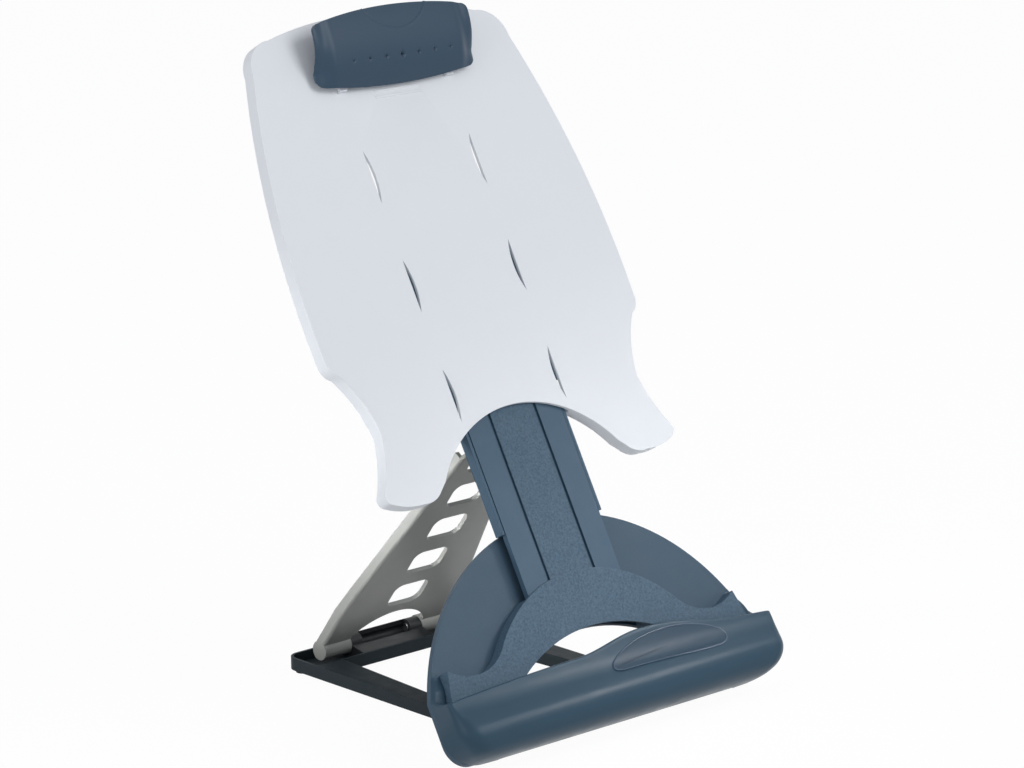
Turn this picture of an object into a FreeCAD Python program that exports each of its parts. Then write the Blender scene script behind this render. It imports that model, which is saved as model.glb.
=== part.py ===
import FreeCAD, Part

import math
import os
import re

import Sketcher
from FreeCAD import Placement, Rotation, Vector

# Document holder: a base frame on the desk, a mast hinged to the front of the frame, a prop leg
# hinged to its back, and a white document board that slides down the mast.
#
# World frame, millimetres: X to the reader's right, Y to the back, Z up, desk at Z = 0, origin in
# the middle of the footprint, from the foremost point of the ledge to the rear of the base frame.
# Distances named "back" are measured from the foot of the mast frame.
# Mast frame: x as in the world, y up along the mast, z out of its front face.
# The board, the clip, the disc, the band and the ledge are all drawn in the mast frame.
# Leg frame: x as in the world, y up along the leg from its hinge, z out of its front face.

SIZES = [
    # base frame on the desk
    ("frame_width", "117.6", "base frame over its side bars"),
    ("frame_front", "19", "front end of the side bars"),
    ("frame_rear", "208.2", "rear edge of the base frame"),
    ("frame_top", "8", "upper edge of the base frame"),
    ("side_bar", "9.1", "width of a side bar at its front"),
    ("side_bar_rear", "18.3", "width of a side bar where it meets the rear bar"),
    ("front_bar_start", "38", "front edge of the cross bar under the disc"),
    ("front_bar", "11", "depth of that cross bar"),
    ("rear_bar", "27.7", "depth of the rear bar"),
    ("channel_wall", "1.6", "wall around the rear bar's tray and the side bars' hollows"),
    ("channel_floor", "1.5", "floor under the tray and roof over the hollows"),
    ("frame_corner", "8", "rounded rear corners of the frame"),
    ("foot_diameter", "8", "rubber foot pads"),
    ("foot_height", "1", "rubber foot pads"),
    ("rear_foot_in", "10", "middle of the rear pads in front of the rear edge"),
    # front hinge between frame and mast
    ("pin_diameter", "5", "hinge pins"),
    ("pin_play", "0.05", "radial play of a turning bore on its pin"),
    ("front_pin_back", "26", "front hinge axis, behind the foot of the mast frame"),
    ("front_pin_height", "8", "front hinge axis above the desk"),
    ("front_boss_radius", "6.6", "boss of a side bar around the front hinge"),
    ("lug_thickness", "8", "hinge lug behind the disc"),
    ("lug_radius", "6", "rounded end of a hinge lug"),
    ("side_play", "0.3", "side clearance of turning pieces"),
    # rear hinge between frame and leg
    ("rear_pin_back", "196.5", "leg hinge axis, behind the foot of the mast frame"),
    ("rear_pin_height", "10", "leg hinge axis above the desk"),
    ("hinge_block_width", "50.4", "block between the feet of the leg"),
    ("hinge_block_radius", "4.8", "the block's bosses around the pins"),
    ("hinge_boss", "8", "length of those bosses"),
    ("hinge_block_top", "8.5", "top of the block in front of its rear wall"),
    ("hinge_block_wall", "3.3", "rear wall of the block between the bosses"),
    # mast
    ("lean_angle", "60.4", "angle of the mast above the desk"),
    ("mast_hinge_up", "19.8", "front hinge axis along the mast frame"),
    ("mast_hinge_depth", "18.66", "front hinge axis behind the mast's front"),
    ("mast_width", "65.8", "face of the mast"),
    ("mast_plate", "3.2", "thickness of the mast's guide edges"),
    ("mast_start", "62", "lower end of the mast"),
    ("mast_end", "285", "upper end of the mast"),
    ("mast_seat_end", "110", "upper end of the mast's seat on the disc"),
    ("spine_width", "51", "thicker middle of the mast"),
    ("spine_depth", "5.3", "depth of the middle of the mast"),
    ("strip_width", "30.2", "textured strip in the face of the mast"),
    ("strip_depth", "1.4", "depth of the strip's recess"),
    ("strip_groove", "1.8", "open groove at each side of the strip"),
    # half disc, arch band and ledge
    ("disc_over", "6", "the disc's radius beyond half the width of the ledge"),
    ("disc_centre", "1.5", "centre of the half disc along the mast"),
    ("disc_start", "9", "straight lower edge of the half disc"),
    ("disc_in", "2", "sides of the disc inside the ends of the ledge"),
    ("disc_corner", "13", "rounding of the disc's two lower corners"),
    ("disc_front", "6.3", "front of the disc behind the mast's face"),
    ("disc_thickness", "3.5", "thickness of the half disc"),
    ("band_top", "89.8", "crown of the arch band"),
    ("band_crown_radius", "81", "upper curve of the arch band"),
    ("band_dip", "51.2", "lowest point of the band's shoulders"),
    ("band_dip_out", "82", "the dip's distance from the middle"),
    ("band_end_in", "12.7", "upper corner of the band's ends inside the ends of the ledge"),
    ("band_end_top", "57", "height of the band's ends"),
    ("band_end_flare", "6", "how much wider the band's ends are at the tray"),
    ("band_front", "1.4", "how far the band stands in front of the mast"),
    ("arch_top", "59.5", "top of the opening under the band"),
    ("arch_radius", "100", "curve of that opening"),
    ("arch_margin", "0.8", "how much wider the disc is cut than the band"),
    ("tray_height", "33", "surface on which the papers stand"),
    ("tray_depth", "9.6", "room for papers in front of the mast's face"),
    ("ledge_width", "228", "ledge from end to end"),
    ("ledge_bow", "3", "how far the lip bows forward in its middle"),
    ("ledge_wall", "2.4", "wall of the ledge"),
    ("lip_height", "9.5", "lip above the tray"),
    ("ledge_corner", "15", "height of the ledge's two rounded lower corners"),
    ("ledge_corner_length", "32", "length of those corners"),
    ("ledge_bottom", "7.8", "lowest part of the ledge along the mast frame"),
    ("belly_depth", "19", "foremost part of the ledge"),
    ("belly_height", "11", "the foremost line's height above the ledge's bottom"),
    ("belly_turn", "4.8", "the point nearest the reader lies this far below that line"),
    ("ear_depth", "3.3", "ears of the ledge that close the ends of the tray, on the disc"),
    ("plaque_middle", "34", "middle of the raised plaque, right of the centre"),
    ("plaque_width", "86", "raised plaque on the lip"),
    ("plaque_height", "22", "raised plaque, from its foot to its crown"),
    ("plaque_foot", "29", "lower edge of the plaque"),
    ("plaque_end", "5", "height of the plaque's ends above its foot"),
    ("plaque_corner", "10", "length of the plaque's rounded ends"),
    ("plaque_proud", "1.6", "how far the plaque stands off the lip"),
    ("plaque_rim", "3.5", "border around the plaque's field"),
    ("plaque_sink", "0.6", "depth of the plaque's field"),
    ("mast_screw_out", "19.5", "mast screws from the middle"),
    ("mast_screw_up", "13", "lower mast screws above the mast's lower end"),
    ("mast_screw_pitch", "25", "from the lower to the upper mast screws"),
    ("band_screw_out", "86", "band screws from the middle"),
    ("band_screw_down", "5", "band screws below the dip of the band"),
    ("ledge_screw_in", "17", "outer ledge screws from the side of the disc"),
    ("ledge_screw_pitch", "60", "from the outer to the inner ledge screws"),
    ("ledge_screw_down", "6", "ledge screws below the tray"),
    # tilt track on the back of the mast
    ("track_start", "150", "lower end of the track"),
    ("track_end", "242", "upper end of the track"),
    ("track_width", "48", "track over its walls"),
    ("track_floor", "2", "floor of the track"),
    ("track_wall", "2.5", "walls of the track"),
    ("track_lip", "6.5", "lips that hold the shoes"),
    ("track_end_pad", "14", "screwed ends of the track"),
    ("shoe_radius", "4.4", "shoes on the leg's upper pin"),
    ("shoe_play", "0.6", "play of the shoes in the track"),
    # leg
    ("leg_reach", "167.5", "from the leg's hinge to its upper pin"),
    ("leg_sheet", "2.4", "wall of the leg"),
    ("leg_flange", "6", "depth of the flanges behind the leg's face"),
    ("leg_foot_width", "88.4", "leg at its feet"),
    ("leg_kink", "30", "height at which the leg's feet end"),
    ("leg_shoulder", "48", "height at which the leg begins to taper"),
    ("leg_shoulder_width", "82", "leg where it begins to taper"),
    ("leg_neck", "150", "height at which the taper ends"),
    ("leg_neck_width", "41", "leg where the taper ends"),
    ("leg_tongue_width", "24", "tongue with the upper pin"),
    ("leg_knuckle", "5.4", "radius of the leg's foot knuckles"),
    ("leg_eye", "4.4", "radius of the eye around the upper pin"),
    ("upper_pin_diameter", "4", "pin across the top of the leg"),
    ("window_width", "24", "windows of the leg"),
    ("window_height", "17.6", "windows of the leg"),
    ("window_first", "36.4", "middle of the lowest window above the hinge"),
    ("window_pitch", "27.4", "from one window to the next"),
    ("window_corner", "5.5", "rounded corners of the windows"),
    ("notch_height", "21.2", "arch between the feet of the leg"),
    # board and its slide rails
    ("board_gap", "0.4", "play between board and mast"),
    ("board_plate", "2", "plate of the board"),
    ("board_rim", "7.8", "depth of the board's edge"),
    ("board_wall", "2", "wall of the board's edge"),
    ("board_top", "404", "upper edge of the board"),
    ("board_sag", "6.5", "how far the upper corners lie below the top"),
    ("board_top_width", "178", "board across its upper corners"),
    ("board_width", "218", "widest part of the board"),
    ("board_widest", "228", "height of the widest part"),
    ("board_waist_width", "180", "board at its waist"),
    ("board_waist", "182", "height of the waist"),
    ("wing_width", "203", "board across the tips of its wings"),
    ("wing_foot", "141.9", "lowest edge of the wings"),
    ("wing_foot_out", "78", "that edge's distance from the middle"),
    ("board_arch_top", "182.1", "top of the board's lower arch"),
    ("board_arch_radius", "74.5", "curve of the board's lower arch"),
    ("slit_out", "37", "slits, distance from the middle"),
    ("slit_length", "29", "slits in the board"),
    ("slit_width", "2.6", "widest part of a slit"),
    ("slit_first", "193.5", "middle of the lowest pair of slits"),
    ("slit_pitch", "61.1", "from one pair of slits to the next"),
    ("rail_start", "117", "lower end of the slide rails"),
    ("rail_wall", "1.9", "side wall of a slide rail"),
    ("rail_hook", "5.2", "hook of a rail behind the mast's guide edge"),
    ("rail_play", "0.4", "play of the rails on the mast"),
    ("rail_front_gap", "0.3", "rails lie this far behind the mast's face"),
    ("rail_back", "5.9", "rear face of the rails behind the mast's face"),
    ("rail_wing_start", "190", "lower edge of the rails' screwed wings"),
    ("rail_wing_end", "284", "upper end of the rails"),
    ("rail_wing_out", "52", "outer edge of the rails' wings"),
    ("rail_wing_sheet", "2.6", "thickness of the wings"),
    ("brake_length", "26", "friction pad in a rail"),
    ("brake_middle", "240", "middle of the friction pads"),
    # clip
    ("clip_width", "109", "clip plate"),
    ("clip_foot", "366.5", "lower edge of the clip plate"),
    ("clip_crown", "397", "upper edge of the clip plate at its ends"),
    ("clip_bow", "5.5", "bow of the clip's upper edge"),
    ("clip_foot_bow", "2.5", "bow of the clip's lower edge"),
    ("clip_foot_depth", "1", "lower edge in front of the board"),
    ("clip_crown_depth", "13.5", "upper edge in front of the board"),
    ("clip_bulge", "3.4", "bulge of the clip between its edges"),
    ("clip_sheet", "2.2", "wall of the clip plate"),
    ("clip_pin_height", "383", "clip hinge axis along the mast frame"),
    ("clip_pin_depth", "5", "clip hinge axis in front of the board"),
    ("clip_pin_diameter", "2.5", "clip hinge pin"),
    ("clip_pin_length", "40", "clip hinge pin"),
    ("bracket_width", "30", "bracket that carries the clip"),
    ("bracket_ear", "3", "ears of the bracket and of the clip"),
    ("bracket_height", "13", "bracket along the board"),
    ("spring_wire", "0.9", "wire of the clip's spring"),
    ("spring_turns", "5", "turns of the clip's spring"),
    ("jaw_out", "37", "jaw pads, distance from the middle"),
    ("jaw_width", "5", "jaw pads"),
    ("dimple_pitch", "11", "dimples in the clip plate"),
    # screws
    ("screw_diameter", "3", "thread of the screws"),
    ("screw_head", "5.6", "head of the screws"),
    ("screw_head_height", "1.8", "head of the screws"),
]

doc = FreeCAD.newDocument("document_holder")
sheet = doc.addObject("Spreadsheet::Sheet", "sizes")
for row, (alias, value, note) in enumerate(SIZES, start=1):
    sheet.set("A%d" % row, alias)
    sheet.set("B%d" % row, value)
    sheet.set("C%d" % row, note)
    sheet.setAlias("B%d" % row, alias)
doc.recompute()
ALIASES = {alias for alias, value, note in SIZES}


def bound(formula):
    """The formula as an expression on the spreadsheet."""
    return re.sub(
        r"[a-z][a-z_]*",
        lambda word: "sizes." + word.group(0) if word.group(0) in ALIASES else word.group(0),
        formula,
    )


def size(formula):
    """The present value of a formula on the spreadsheet."""
    return float(sheet.evalExpression(bound(formula)))


# Frames ---------------------------------------------------------------------------------------

MAST_BASE_Y = (
    "front_pin_back - mast_hinge_up * cos(lean_angle * 1 deg)"
    " - mast_hinge_depth * sin(lean_angle * 1 deg)"
)
MAST_BASE_Z = (
    "front_pin_height - mast_hinge_up * sin(lean_angle * 1 deg)"
    " + mast_hinge_depth * cos(lean_angle * 1 deg)"
)

LEDGE_FRONT = (
    "(%s + (ledge_bottom + belly_height - belly_turn) * cos(lean_angle * 1 deg)"
    " - belly_depth * sin(lean_angle * 1 deg))" % MAST_BASE_Y
)
ORIGIN_BACK = "(frame_rear + %s) / 2" % LEDGE_FRONT


def leg_angle():
    """Angle of the leg's frame about X at which the shoes sit in the middle of the track."""
    lean = math.radians(size("lean_angle"))
    back = size("rear_pin_back - front_pin_back")
    up = size("rear_pin_height - front_pin_height")
    shoe_depth = size("spine_depth + track_floor + shoe_play + shoe_radius")
    rise = size("mast_hinge_depth") - shoe_depth + back * math.sin(lean) - up * math.cos(lean)
    return math.degrees(lean + math.asin(rise / size("leg_reach")))


def put_on_desk(piece):
    """Lay the piece on the desk."""
    piece.Placement = Placement()
    piece.setExpression("Placement.Base.y", bound("-" + ORIGIN_BACK))


def put_on_mast(piece):
    """Stand the piece in the mast frame, which turns with the front hinge."""
    piece.Placement = Placement(Vector(0, 0, 0), Rotation(Vector(1, 0, 0), size("lean_angle")))
    piece.setExpression("Placement.Rotation.Angle", bound("lean_angle"))
    piece.setExpression("Placement.Base.y", bound("%s - %s" % (MAST_BASE_Y, ORIGIN_BACK)))
    piece.setExpression("Placement.Base.z", bound(MAST_BASE_Z))


def put_on_leg(piece):
    """Stand the piece in the leg frame, at the rear hinge."""
    piece.Placement = Placement(Vector(0, 0, 0), Rotation(Vector(1, 0, 0), leg_angle()))
    piece.setExpression("Placement.Base.y", bound("rear_pin_back - " + ORIGIN_BACK))
    piece.setExpression("Placement.Base.z", bound("rear_pin_height"))


# Sketch loops ---------------------------------------------------------------------------------

def polygon(corners):
    """A closed loop of straight edges whose corners are formulas on the spreadsheet."""

    def draw(sketch):
        points = [Vector(size(x), size(y), 0) for x, y in corners]
        first = sketch.GeometryCount
        count = len(points)
        for index in range(count):
            sketch.addGeometry(Part.LineSegment(points[index], points[(index + 1) % count]))
        for index in range(count):
            following = first + (index + 1) % count
            sketch.addConstraint(
                Sketcher.Constraint("Coincident", first + index, 2, following, 1)
            )
        for index, (x, y) in enumerate(corners):
            for kind, formula, value in (
                ("DistanceX", x, points[index].x),
                ("DistanceY", y, points[index].y),
            ):
                number = sketch.addConstraint(
                    Sketcher.Constraint(kind, -1, 1, first + index, 1, value)
                )
                sketch.setExpression("Constraints[%d]" % number, bound(formula))

    return draw


def rectangle(x_low, x_high, y_low, y_high):
    return polygon([(x_low, y_low), (x_high, y_low), (x_high, y_high), (x_low, y_high)])


def circle(x, y, radius):
    """A circle whose centre and radius are formulas on the spreadsheet."""

    def draw(sketch):
        centre = Vector(size(x), size(y), 0)
        number = sketch.addGeometry(Part.Circle(centre, Vector(0, 0, 1), size(radius)))
        for kind, formula, value in (("DistanceX", x, centre.x), ("DistanceY", y, centre.y)):
            rule = sketch.addConstraint(Sketcher.Constraint(kind, -1, 1, number, 3, value))
            sketch.setExpression("Constraints[%d]" % rule, bound(formula))
        rule = sketch.addConstraint(Sketcher.Constraint("Radius", number, size(radius)))
        sketch.setExpression("Constraints[%d]" % rule, bound(radius))

    return draw


def path_edges(start, steps):
    """Edges of a path: a step is (None, end) for a line or (middle, end) for an arc."""
    edges = []
    here = Vector(start[0], start[1], 0)
    for middle, end in steps:
        there = Vector(end[0], end[1], 0)
        if middle is None:
            edges.append(Part.LineSegment(here, there))
        else:
            edges.append(Part.Arc(here, Vector(middle[0], middle[1], 0), there))
        here = there
    return edges


def symmetric_path(start, steps):
    """The path and its mirror image across x = 0, as one closed loop."""
    points = [start] + [end for middle, end in steps]
    mirrored = []
    for index in range(len(steps) - 1, -1, -1):
        middle = steps[index][0]
        back_to = points[index]
        mirrored.append((middle and (-middle[0], middle[1]), (-back_to[0], back_to[1])))
    both = list(steps)
    if points[-1][0] != 0:
        both.append((None, (-points[-1][0], points[-1][1])))
    both += mirrored
    if start[0] != 0:
        both.append((None, start))
    return path_edges(start, both)


def loop(edges):
    """A closed loop of given edges."""

    def draw(sketch):
        for edge in edges:
            sketch.addGeometry(edge)

    return draw


def inset(edges, distance):
    """The same closed loop, moved inwards."""
    wire = Part.Wire([edge.toShape() for edge in edges])
    moved = wire.makeOffset2D(-distance)
    return [edge.Curve.trim(*edge.ParameterRange) for edge in moved.Edges]


# Features -------------------------------------------------------------------------------------

def new_body(label):
    body = doc.addObject("PartDesign::Body", label)
    body.Label = label
    return body


def new_sketch(body, plane, start, loops):
    """A sketch on one of the body's origin planes, moved along its normal."""
    sketch = body.newObject("Sketcher::SketchObject", body.Name + "_sketch")
    support = [item for item in body.Origin.OriginFeatures if item.Role == plane][0]
    sketch.AttachmentSupport = [(support, "")]
    sketch.MapMode = "FlatFace"
    sketch.AttachmentOffset = Placement(Vector(0, 0, size(start)), Rotation())
    sketch.setExpression("AttachmentOffset.Base.z", bound(start))
    for draw in loops:
        draw(sketch)
    return sketch


def pad(body, plane, start, end, *loops):
    """Material between two levels along the normal of the plane."""
    sketch = new_sketch(body, plane, start, loops)
    feature = body.newObject("PartDesign::Pad", body.Name + "_pad")
    feature.Profile = sketch
    feature.setExpression("Length", bound("(%s) - (%s)" % (end, start)))
    return feature


def pocket(body, plane, start, end, *loops):
    """A cut between two levels along the normal of the plane."""
    doc.recompute()
    before = body.Shape.Volume
    sketch = new_sketch(body, plane, start, loops)
    feature = body.newObject("PartDesign::Pocket", body.Name + "_pocket")
    feature.Profile = sketch
    feature.Reversed = True
    feature.setExpression("Length", bound("(%s) - (%s)" % (end, start)))
    doc.recompute()
    if not body.Shape.Volume < before - 1e-6:
        raise ValueError("a pocket of %s cuts nothing" % body.Label)
    return feature


def fillet(body, radius, chosen):
    """Round the edges that the test picks out."""
    doc.recompute()
    tip = body.Tip
    names = [
        "Edge%d" % number
        for number, edge in enumerate(tip.Shape.Edges, start=1)
        if chosen(edge)
    ]
    if not names:
        raise ValueError("no edges to round on %s" % body.Label)
    feature = body.newObject("PartDesign::Fillet", body.Name + "_fillet")
    feature.Base = (tip, names)
    feature.setExpression("Radius", bound(radius))
    return feature


AXES = {
    "x": Rotation(Vector(0, 1, 0), 90),
    "y": Rotation(Vector(1, 0, 0), -90),
    "z": Rotation(),
}


def rod(name, axis, radius, length, x, y, z):
    """A round bar that starts at the given point and runs along an axis."""
    bar = doc.addObject("Part::Cylinder", name)
    bar.setExpression("Radius", bound(radius))
    bar.setExpression("Height", bound(length))
    bar.Placement = Placement(Vector(0, 0, 0), AXES[axis])
    bar.setExpression("Placement.Base.x", bound(x))
    bar.setExpression("Placement.Base.y", bound(y))
    bar.setExpression("Placement.Base.z", bound(z))
    return bar


def group(label, members):
    """Separate solids of one kind under one name."""
    pack = doc.addObject("Part::Compound", label)
    pack.Label = label
    pack.Links = members
    return pack


def screw(name, x, y, seat, tip):
    """A screw along z whose head lies behind its seat."""
    head = rod(name + "_head", "z", "screw_head / 2", "screw_head_height",
               x, y, "%s - screw_head_height" % seat)
    thread = rod(name + "_thread", "z", "screw_diameter / 2", "(%s) - (%s)" % (tip, seat),
                 x, y, seat)
    whole = doc.addObject("Part::Fuse", name)
    whole.Base = head
    whole.Tool = thread
    return whole


def screw_set(label, places, seat, tip):
    """Equal screws at several places of the mast frame."""
    screws = [
        screw("%s_%d" % (label, number), x, y, seat, tip)
        for number, (x, y) in enumerate(places, start=1)
    ]
    return group(label, screws)


def screw_holes(body, places, start, end):
    """Holes that the threads of a screw set fill."""
    pocket(body, "XY_Plane", start, end,
           *[circle(x, y, "screw_diameter / 2") for x, y in places])


def four_ways(x, low, high):
    """Four places, at both sides and at two heights."""
    return [("-(%s)" % x, low), (x, low), ("-(%s)" % x, high), (x, high)]


def both_sides(x, y):
    return [("-(%s)" % x, y), (x, y)]


PIECES = []


def finish(piece, put):
    put(piece)
    PIECES.append(piece)
    return piece


# Base frame -----------------------------------------------------------------------------------

BAR_INNER = "(frame_width / 2 - side_bar)"
BAR_REAR_INNER = "(frame_width / 2 - side_bar_rear)"
BAR_END = "(frame_rear - rear_bar)"
TROUGH_SIDE = "(frame_width / 2 - channel_wall)"
TROUGH_FRONT = "(frame_rear - rear_bar + channel_wall)"
TROUGH_REAR = "(frame_rear - channel_wall)"
TROUGH_FLOOR = "(foot_height + channel_floor)"
CROSS_BAR_REAR = "(front_bar_start + front_bar)"


def make_base_frame():
    """Ring with an open tray across its rear, and a front hinge boss on each side bar."""
    body = new_body("base_frame")
    outer = "frame_width / 2"
    pad(
        body, "XY_Plane", "foot_height", "frame_top",
        polygon([
            ("-" + outer, "frame_front"),
            ("-" + BAR_INNER, "frame_front"),
            ("-" + BAR_INNER, "front_bar_start"),
            (BAR_INNER, "front_bar_start"),
            (BAR_INNER, "frame_front"),
            (outer, "frame_front"),
            (outer, "frame_rear"),
            ("-" + outer, "frame_rear"),
        ]),
        polygon([
            ("-" + BAR_INNER, CROSS_BAR_REAR),
            (BAR_INNER, CROSS_BAR_REAR),
            (BAR_REAR_INNER, BAR_END),
            ("-" + BAR_REAR_INNER, BAR_END),
        ]),
    )
    hollow = [
        (BAR_INNER + " + channel_wall", CROSS_BAR_REAR),
        (outer + " - channel_wall", CROSS_BAR_REAR),
        (outer + " - channel_wall", BAR_END),
        (BAR_REAR_INNER + " + channel_wall", BAR_END),
    ]
    pocket(body, "XY_Plane", "foot_height - 1", "frame_top - channel_floor",
           polygon(hollow), polygon(negative(hollow)))
    pocket(body, "XY_Plane", TROUGH_FLOOR, "frame_top + 1",
           rectangle("-" + TROUGH_SIDE, TROUGH_SIDE, TROUGH_FRONT, TROUGH_REAR))
    trough_rear, trough_side = size(TROUGH_REAR), size(TROUGH_SIDE)
    fillet(
        body, "frame_corner - channel_wall",
        lambda edge: abs(abs(edge.CenterOfMass.x) - trough_side) < 0.01
        and abs(edge.CenterOfMass.y - trough_rear) < 0.01,
    )
    rear = size("frame_rear")
    half = size("frame_width / 2")
    fillet(
        body, "frame_corner",
        lambda edge: abs(abs(edge.CenterOfMass.x) - half) < 0.01
        and abs(edge.CenterOfMass.y - rear) < 0.01,
    )
    for low, high in (("-" + outer, "-" + BAR_INNER), (BAR_INNER, outer)):
        pad(body, "YZ_Plane", low, high,
            circle("front_pin_back", "front_pin_height", "front_boss_radius"))
    pocket(body, "YZ_Plane", "-" + outer, outer,
           circle("front_pin_back", "front_pin_height", "pin_diameter / 2"))
    return finish(body, put_on_desk)


def make_feet():
    places = four_ways("frame_width / 2 - side_bar / 2", "front_pin_back", "frame_rear - rear_foot_in")
    feet = [
        rod("foot_%d" % number, "z", "foot_diameter / 2", "foot_height", x, y, "0")
        for number, (x, y) in enumerate(places, start=1)
    ]
    return finish(group("rubber_feet", feet), put_on_desk)


def make_hinge_block():
    """Block between the feet of the leg, with a boss around a short pin at each end."""
    body = new_body("rear_hinge_block")
    low, high = "-hinge_block_width / 2", "hinge_block_width / 2"
    pad(body, "YZ_Plane", low, high,
        circle("rear_pin_back", "rear_pin_height", "hinge_block_radius"))
    pad(body, "YZ_Plane", low, high,
        polygon([
            (TROUGH_FRONT, TROUGH_FLOOR),
            (TROUGH_REAR, TROUGH_FLOOR),
            (TROUGH_REAR, "frame_top"),
            ("rear_pin_back + hinge_block_radius", "rear_pin_height"),
            ("rear_pin_back - hinge_block_radius", "rear_pin_height"),
            (TROUGH_FRONT, "frame_top"),
        ]))
    gap = "(hinge_block_width / 2 - hinge_boss)"
    pocket(body, "YZ_Plane", "-" + gap, gap,
           rectangle("rear_pin_back - hinge_block_radius - 1",
                     "rear_pin_back + hinge_block_radius - hinge_block_wall", "hinge_block_top",
                     "rear_pin_height + hinge_block_radius + 1"))
    pocket(body, "YZ_Plane", low, high,
           circle("rear_pin_back", "rear_pin_height", "pin_diameter / 2"))
    return finish(body, put_on_desk)


LUG_OUTER = "(frame_width / 2 - side_bar - side_play)"
LUG_INNER = "(frame_width / 2 - side_bar - side_play - lug_thickness)"


def make_hinge_pins():
    inner, outer = "(hinge_block_width / 2 - hinge_boss)", "(leg_foot_width / 2 - leg_sheet)"
    pins = [
        rod("leg_pin_left", "x", "pin_diameter / 2", outer + " - " + inner, "-" + outer,
            "rear_pin_back", "rear_pin_height"),
        rod("leg_pin_right", "x", "pin_diameter / 2", outer + " - " + inner, inner,
            "rear_pin_back", "rear_pin_height"),
    ]
    finish(group("leg_hinge_pins", pins), put_on_desk)
    length = "frame_width / 2 - " + LUG_INNER
    pins = [
        rod("front_pin_left", "x", "pin_diameter / 2", length,
            "-frame_width / 2", "front_pin_back", "front_pin_height"),
        rod("front_pin_right", "x", "pin_diameter / 2", length,
            LUG_INNER, "front_pin_back", "front_pin_height"),
    ]
    return finish(group("front_hinge_pins", pins), put_on_desk)


# Mast, disc, band and ledge -------------------------------------------------------------------

DISC_RADIUS = "(ledge_width / 2 + disc_over)"
DISC_SIDE = "(ledge_width / 2 - disc_in)"
BAND_END = "(ledge_width / 2 - band_end_in)"
MAST_SCREWS = four_ways("mast_screw_out", "mast_start + mast_screw_up",
                        "mast_start + mast_screw_up + mast_screw_pitch")
BAND_SCREWS = both_sides("band_screw_out", "band_dip - band_screw_down")
LEDGE_SCREWS = (both_sides(DISC_SIDE + " - ledge_screw_in", "tray_height - ledge_screw_down")
                + both_sides(DISC_SIDE + " - ledge_screw_in - ledge_screw_pitch",
                             "tray_height - ledge_screw_down"))
TRACK_SCREWS = four_ways("track_width / 2 - 4.5", "track_start - track_end_pad / 2",
                         "track_end + track_end_pad / 2")
DISC_BACK = "(disc_front + disc_thickness)"


def make_mast():
    """Flat mast: thin guide edges, a thicker spine and a recess for the textured strip."""
    body = new_body("mast")
    spine = ("-spine_width / 2", "spine_width / 2")
    pad(body, "XY_Plane", "-mast_plate", "0",
        rectangle("-mast_width / 2", "mast_width / 2", "mast_start", "mast_end"))
    pad(body, "XY_Plane", "-spine_depth", "-mast_plate",
        rectangle(spine[0], spine[1], "mast_start", "mast_end"))
    pad(body, "XY_Plane", "-disc_front", "-spine_depth",
        rectangle(spine[0], spine[1], "mast_start", "mast_seat_end"))
    recess = "(strip_width / 2 + strip_groove)"
    pocket(body, "XY_Plane", "-strip_depth", "1",
           rectangle("-" + recess, recess, "mast_start", "mast_end"))
    screw_holes(body, MAST_SCREWS, "-disc_front", "-1")
    screw_holes(body, TRACK_SCREWS, "-spine_depth", "-1")
    return finish(body, put_on_mast)


def make_centre_strip():
    body = new_body("mast_centre_strip")
    pad(body, "XY_Plane", "-strip_depth", "0",
        rectangle("-strip_width / 2", "strip_width / 2", "mast_start", "mast_end"))
    return finish(body, put_on_mast)


def arch_opening(margin):
    """Half of the opening under the band, down to the tray."""
    radius = size("arch_radius")
    centre = size("arch_top") - radius
    radius += margin
    foot = size("tray_height")
    out = math.sqrt(radius ** 2 - (foot - centre) ** 2)
    half_way = math.radians(90 - math.degrees(math.asin(out / radius)) / 2)
    middle = (radius * math.cos(half_way), centre + radius * math.sin(half_way))
    return (0, centre + radius), [(middle, (out, foot))]


def make_half_disc():
    """Half disc with the arch opening, and the two lugs of the front hinge on its back."""
    body = new_body("half_disc")
    radius, centre, start = size(DISC_RADIUS), size("disc_centre"), size("disc_start")
    side = size(DISC_SIDE)
    side_height = centre + math.sqrt(radius ** 2 - side ** 2)
    slope = math.radians(58)
    middle = (radius * math.cos(slope), centre + radius * math.sin(slope))
    corner = size("disc_corner")
    slack = corner * (1 - math.sqrt(0.5))
    outline = symmetric_path((0, centre + radius), [
        (middle, (side, side_height)),
        (None, (side, start + corner)),
        ((side - slack, start + slack), (side - corner, start)),
    ])
    opening = symmetric_path(*arch_opening(size("arch_margin")))
    pad(body, "XY_Plane", "-" + DISC_BACK, "-disc_front", loop(outline), loop(opening))
    for low, high in ((LUG_INNER, LUG_OUTER), ("-" + LUG_OUTER, "-" + LUG_INNER)):
        pad(body, "YZ_Plane", low, high,
            circle("mast_hinge_up", "-mast_hinge_depth", "lug_radius"))
        pad(body, "YZ_Plane", low, high,
            rectangle("mast_hinge_up - lug_radius", "mast_hinge_up + lug_radius",
                      "-mast_hinge_depth", "-" + DISC_BACK))
        pocket(body, "YZ_Plane", low, high,
               circle("mast_hinge_up", "-mast_hinge_depth", "pin_diameter / 2 + pin_play"))
    screw_holes(body, MAST_SCREWS + BAND_SCREWS + LEDGE_SCREWS, "-" + DISC_BACK, "-disc_front")
    return finish(body, put_on_mast)


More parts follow.
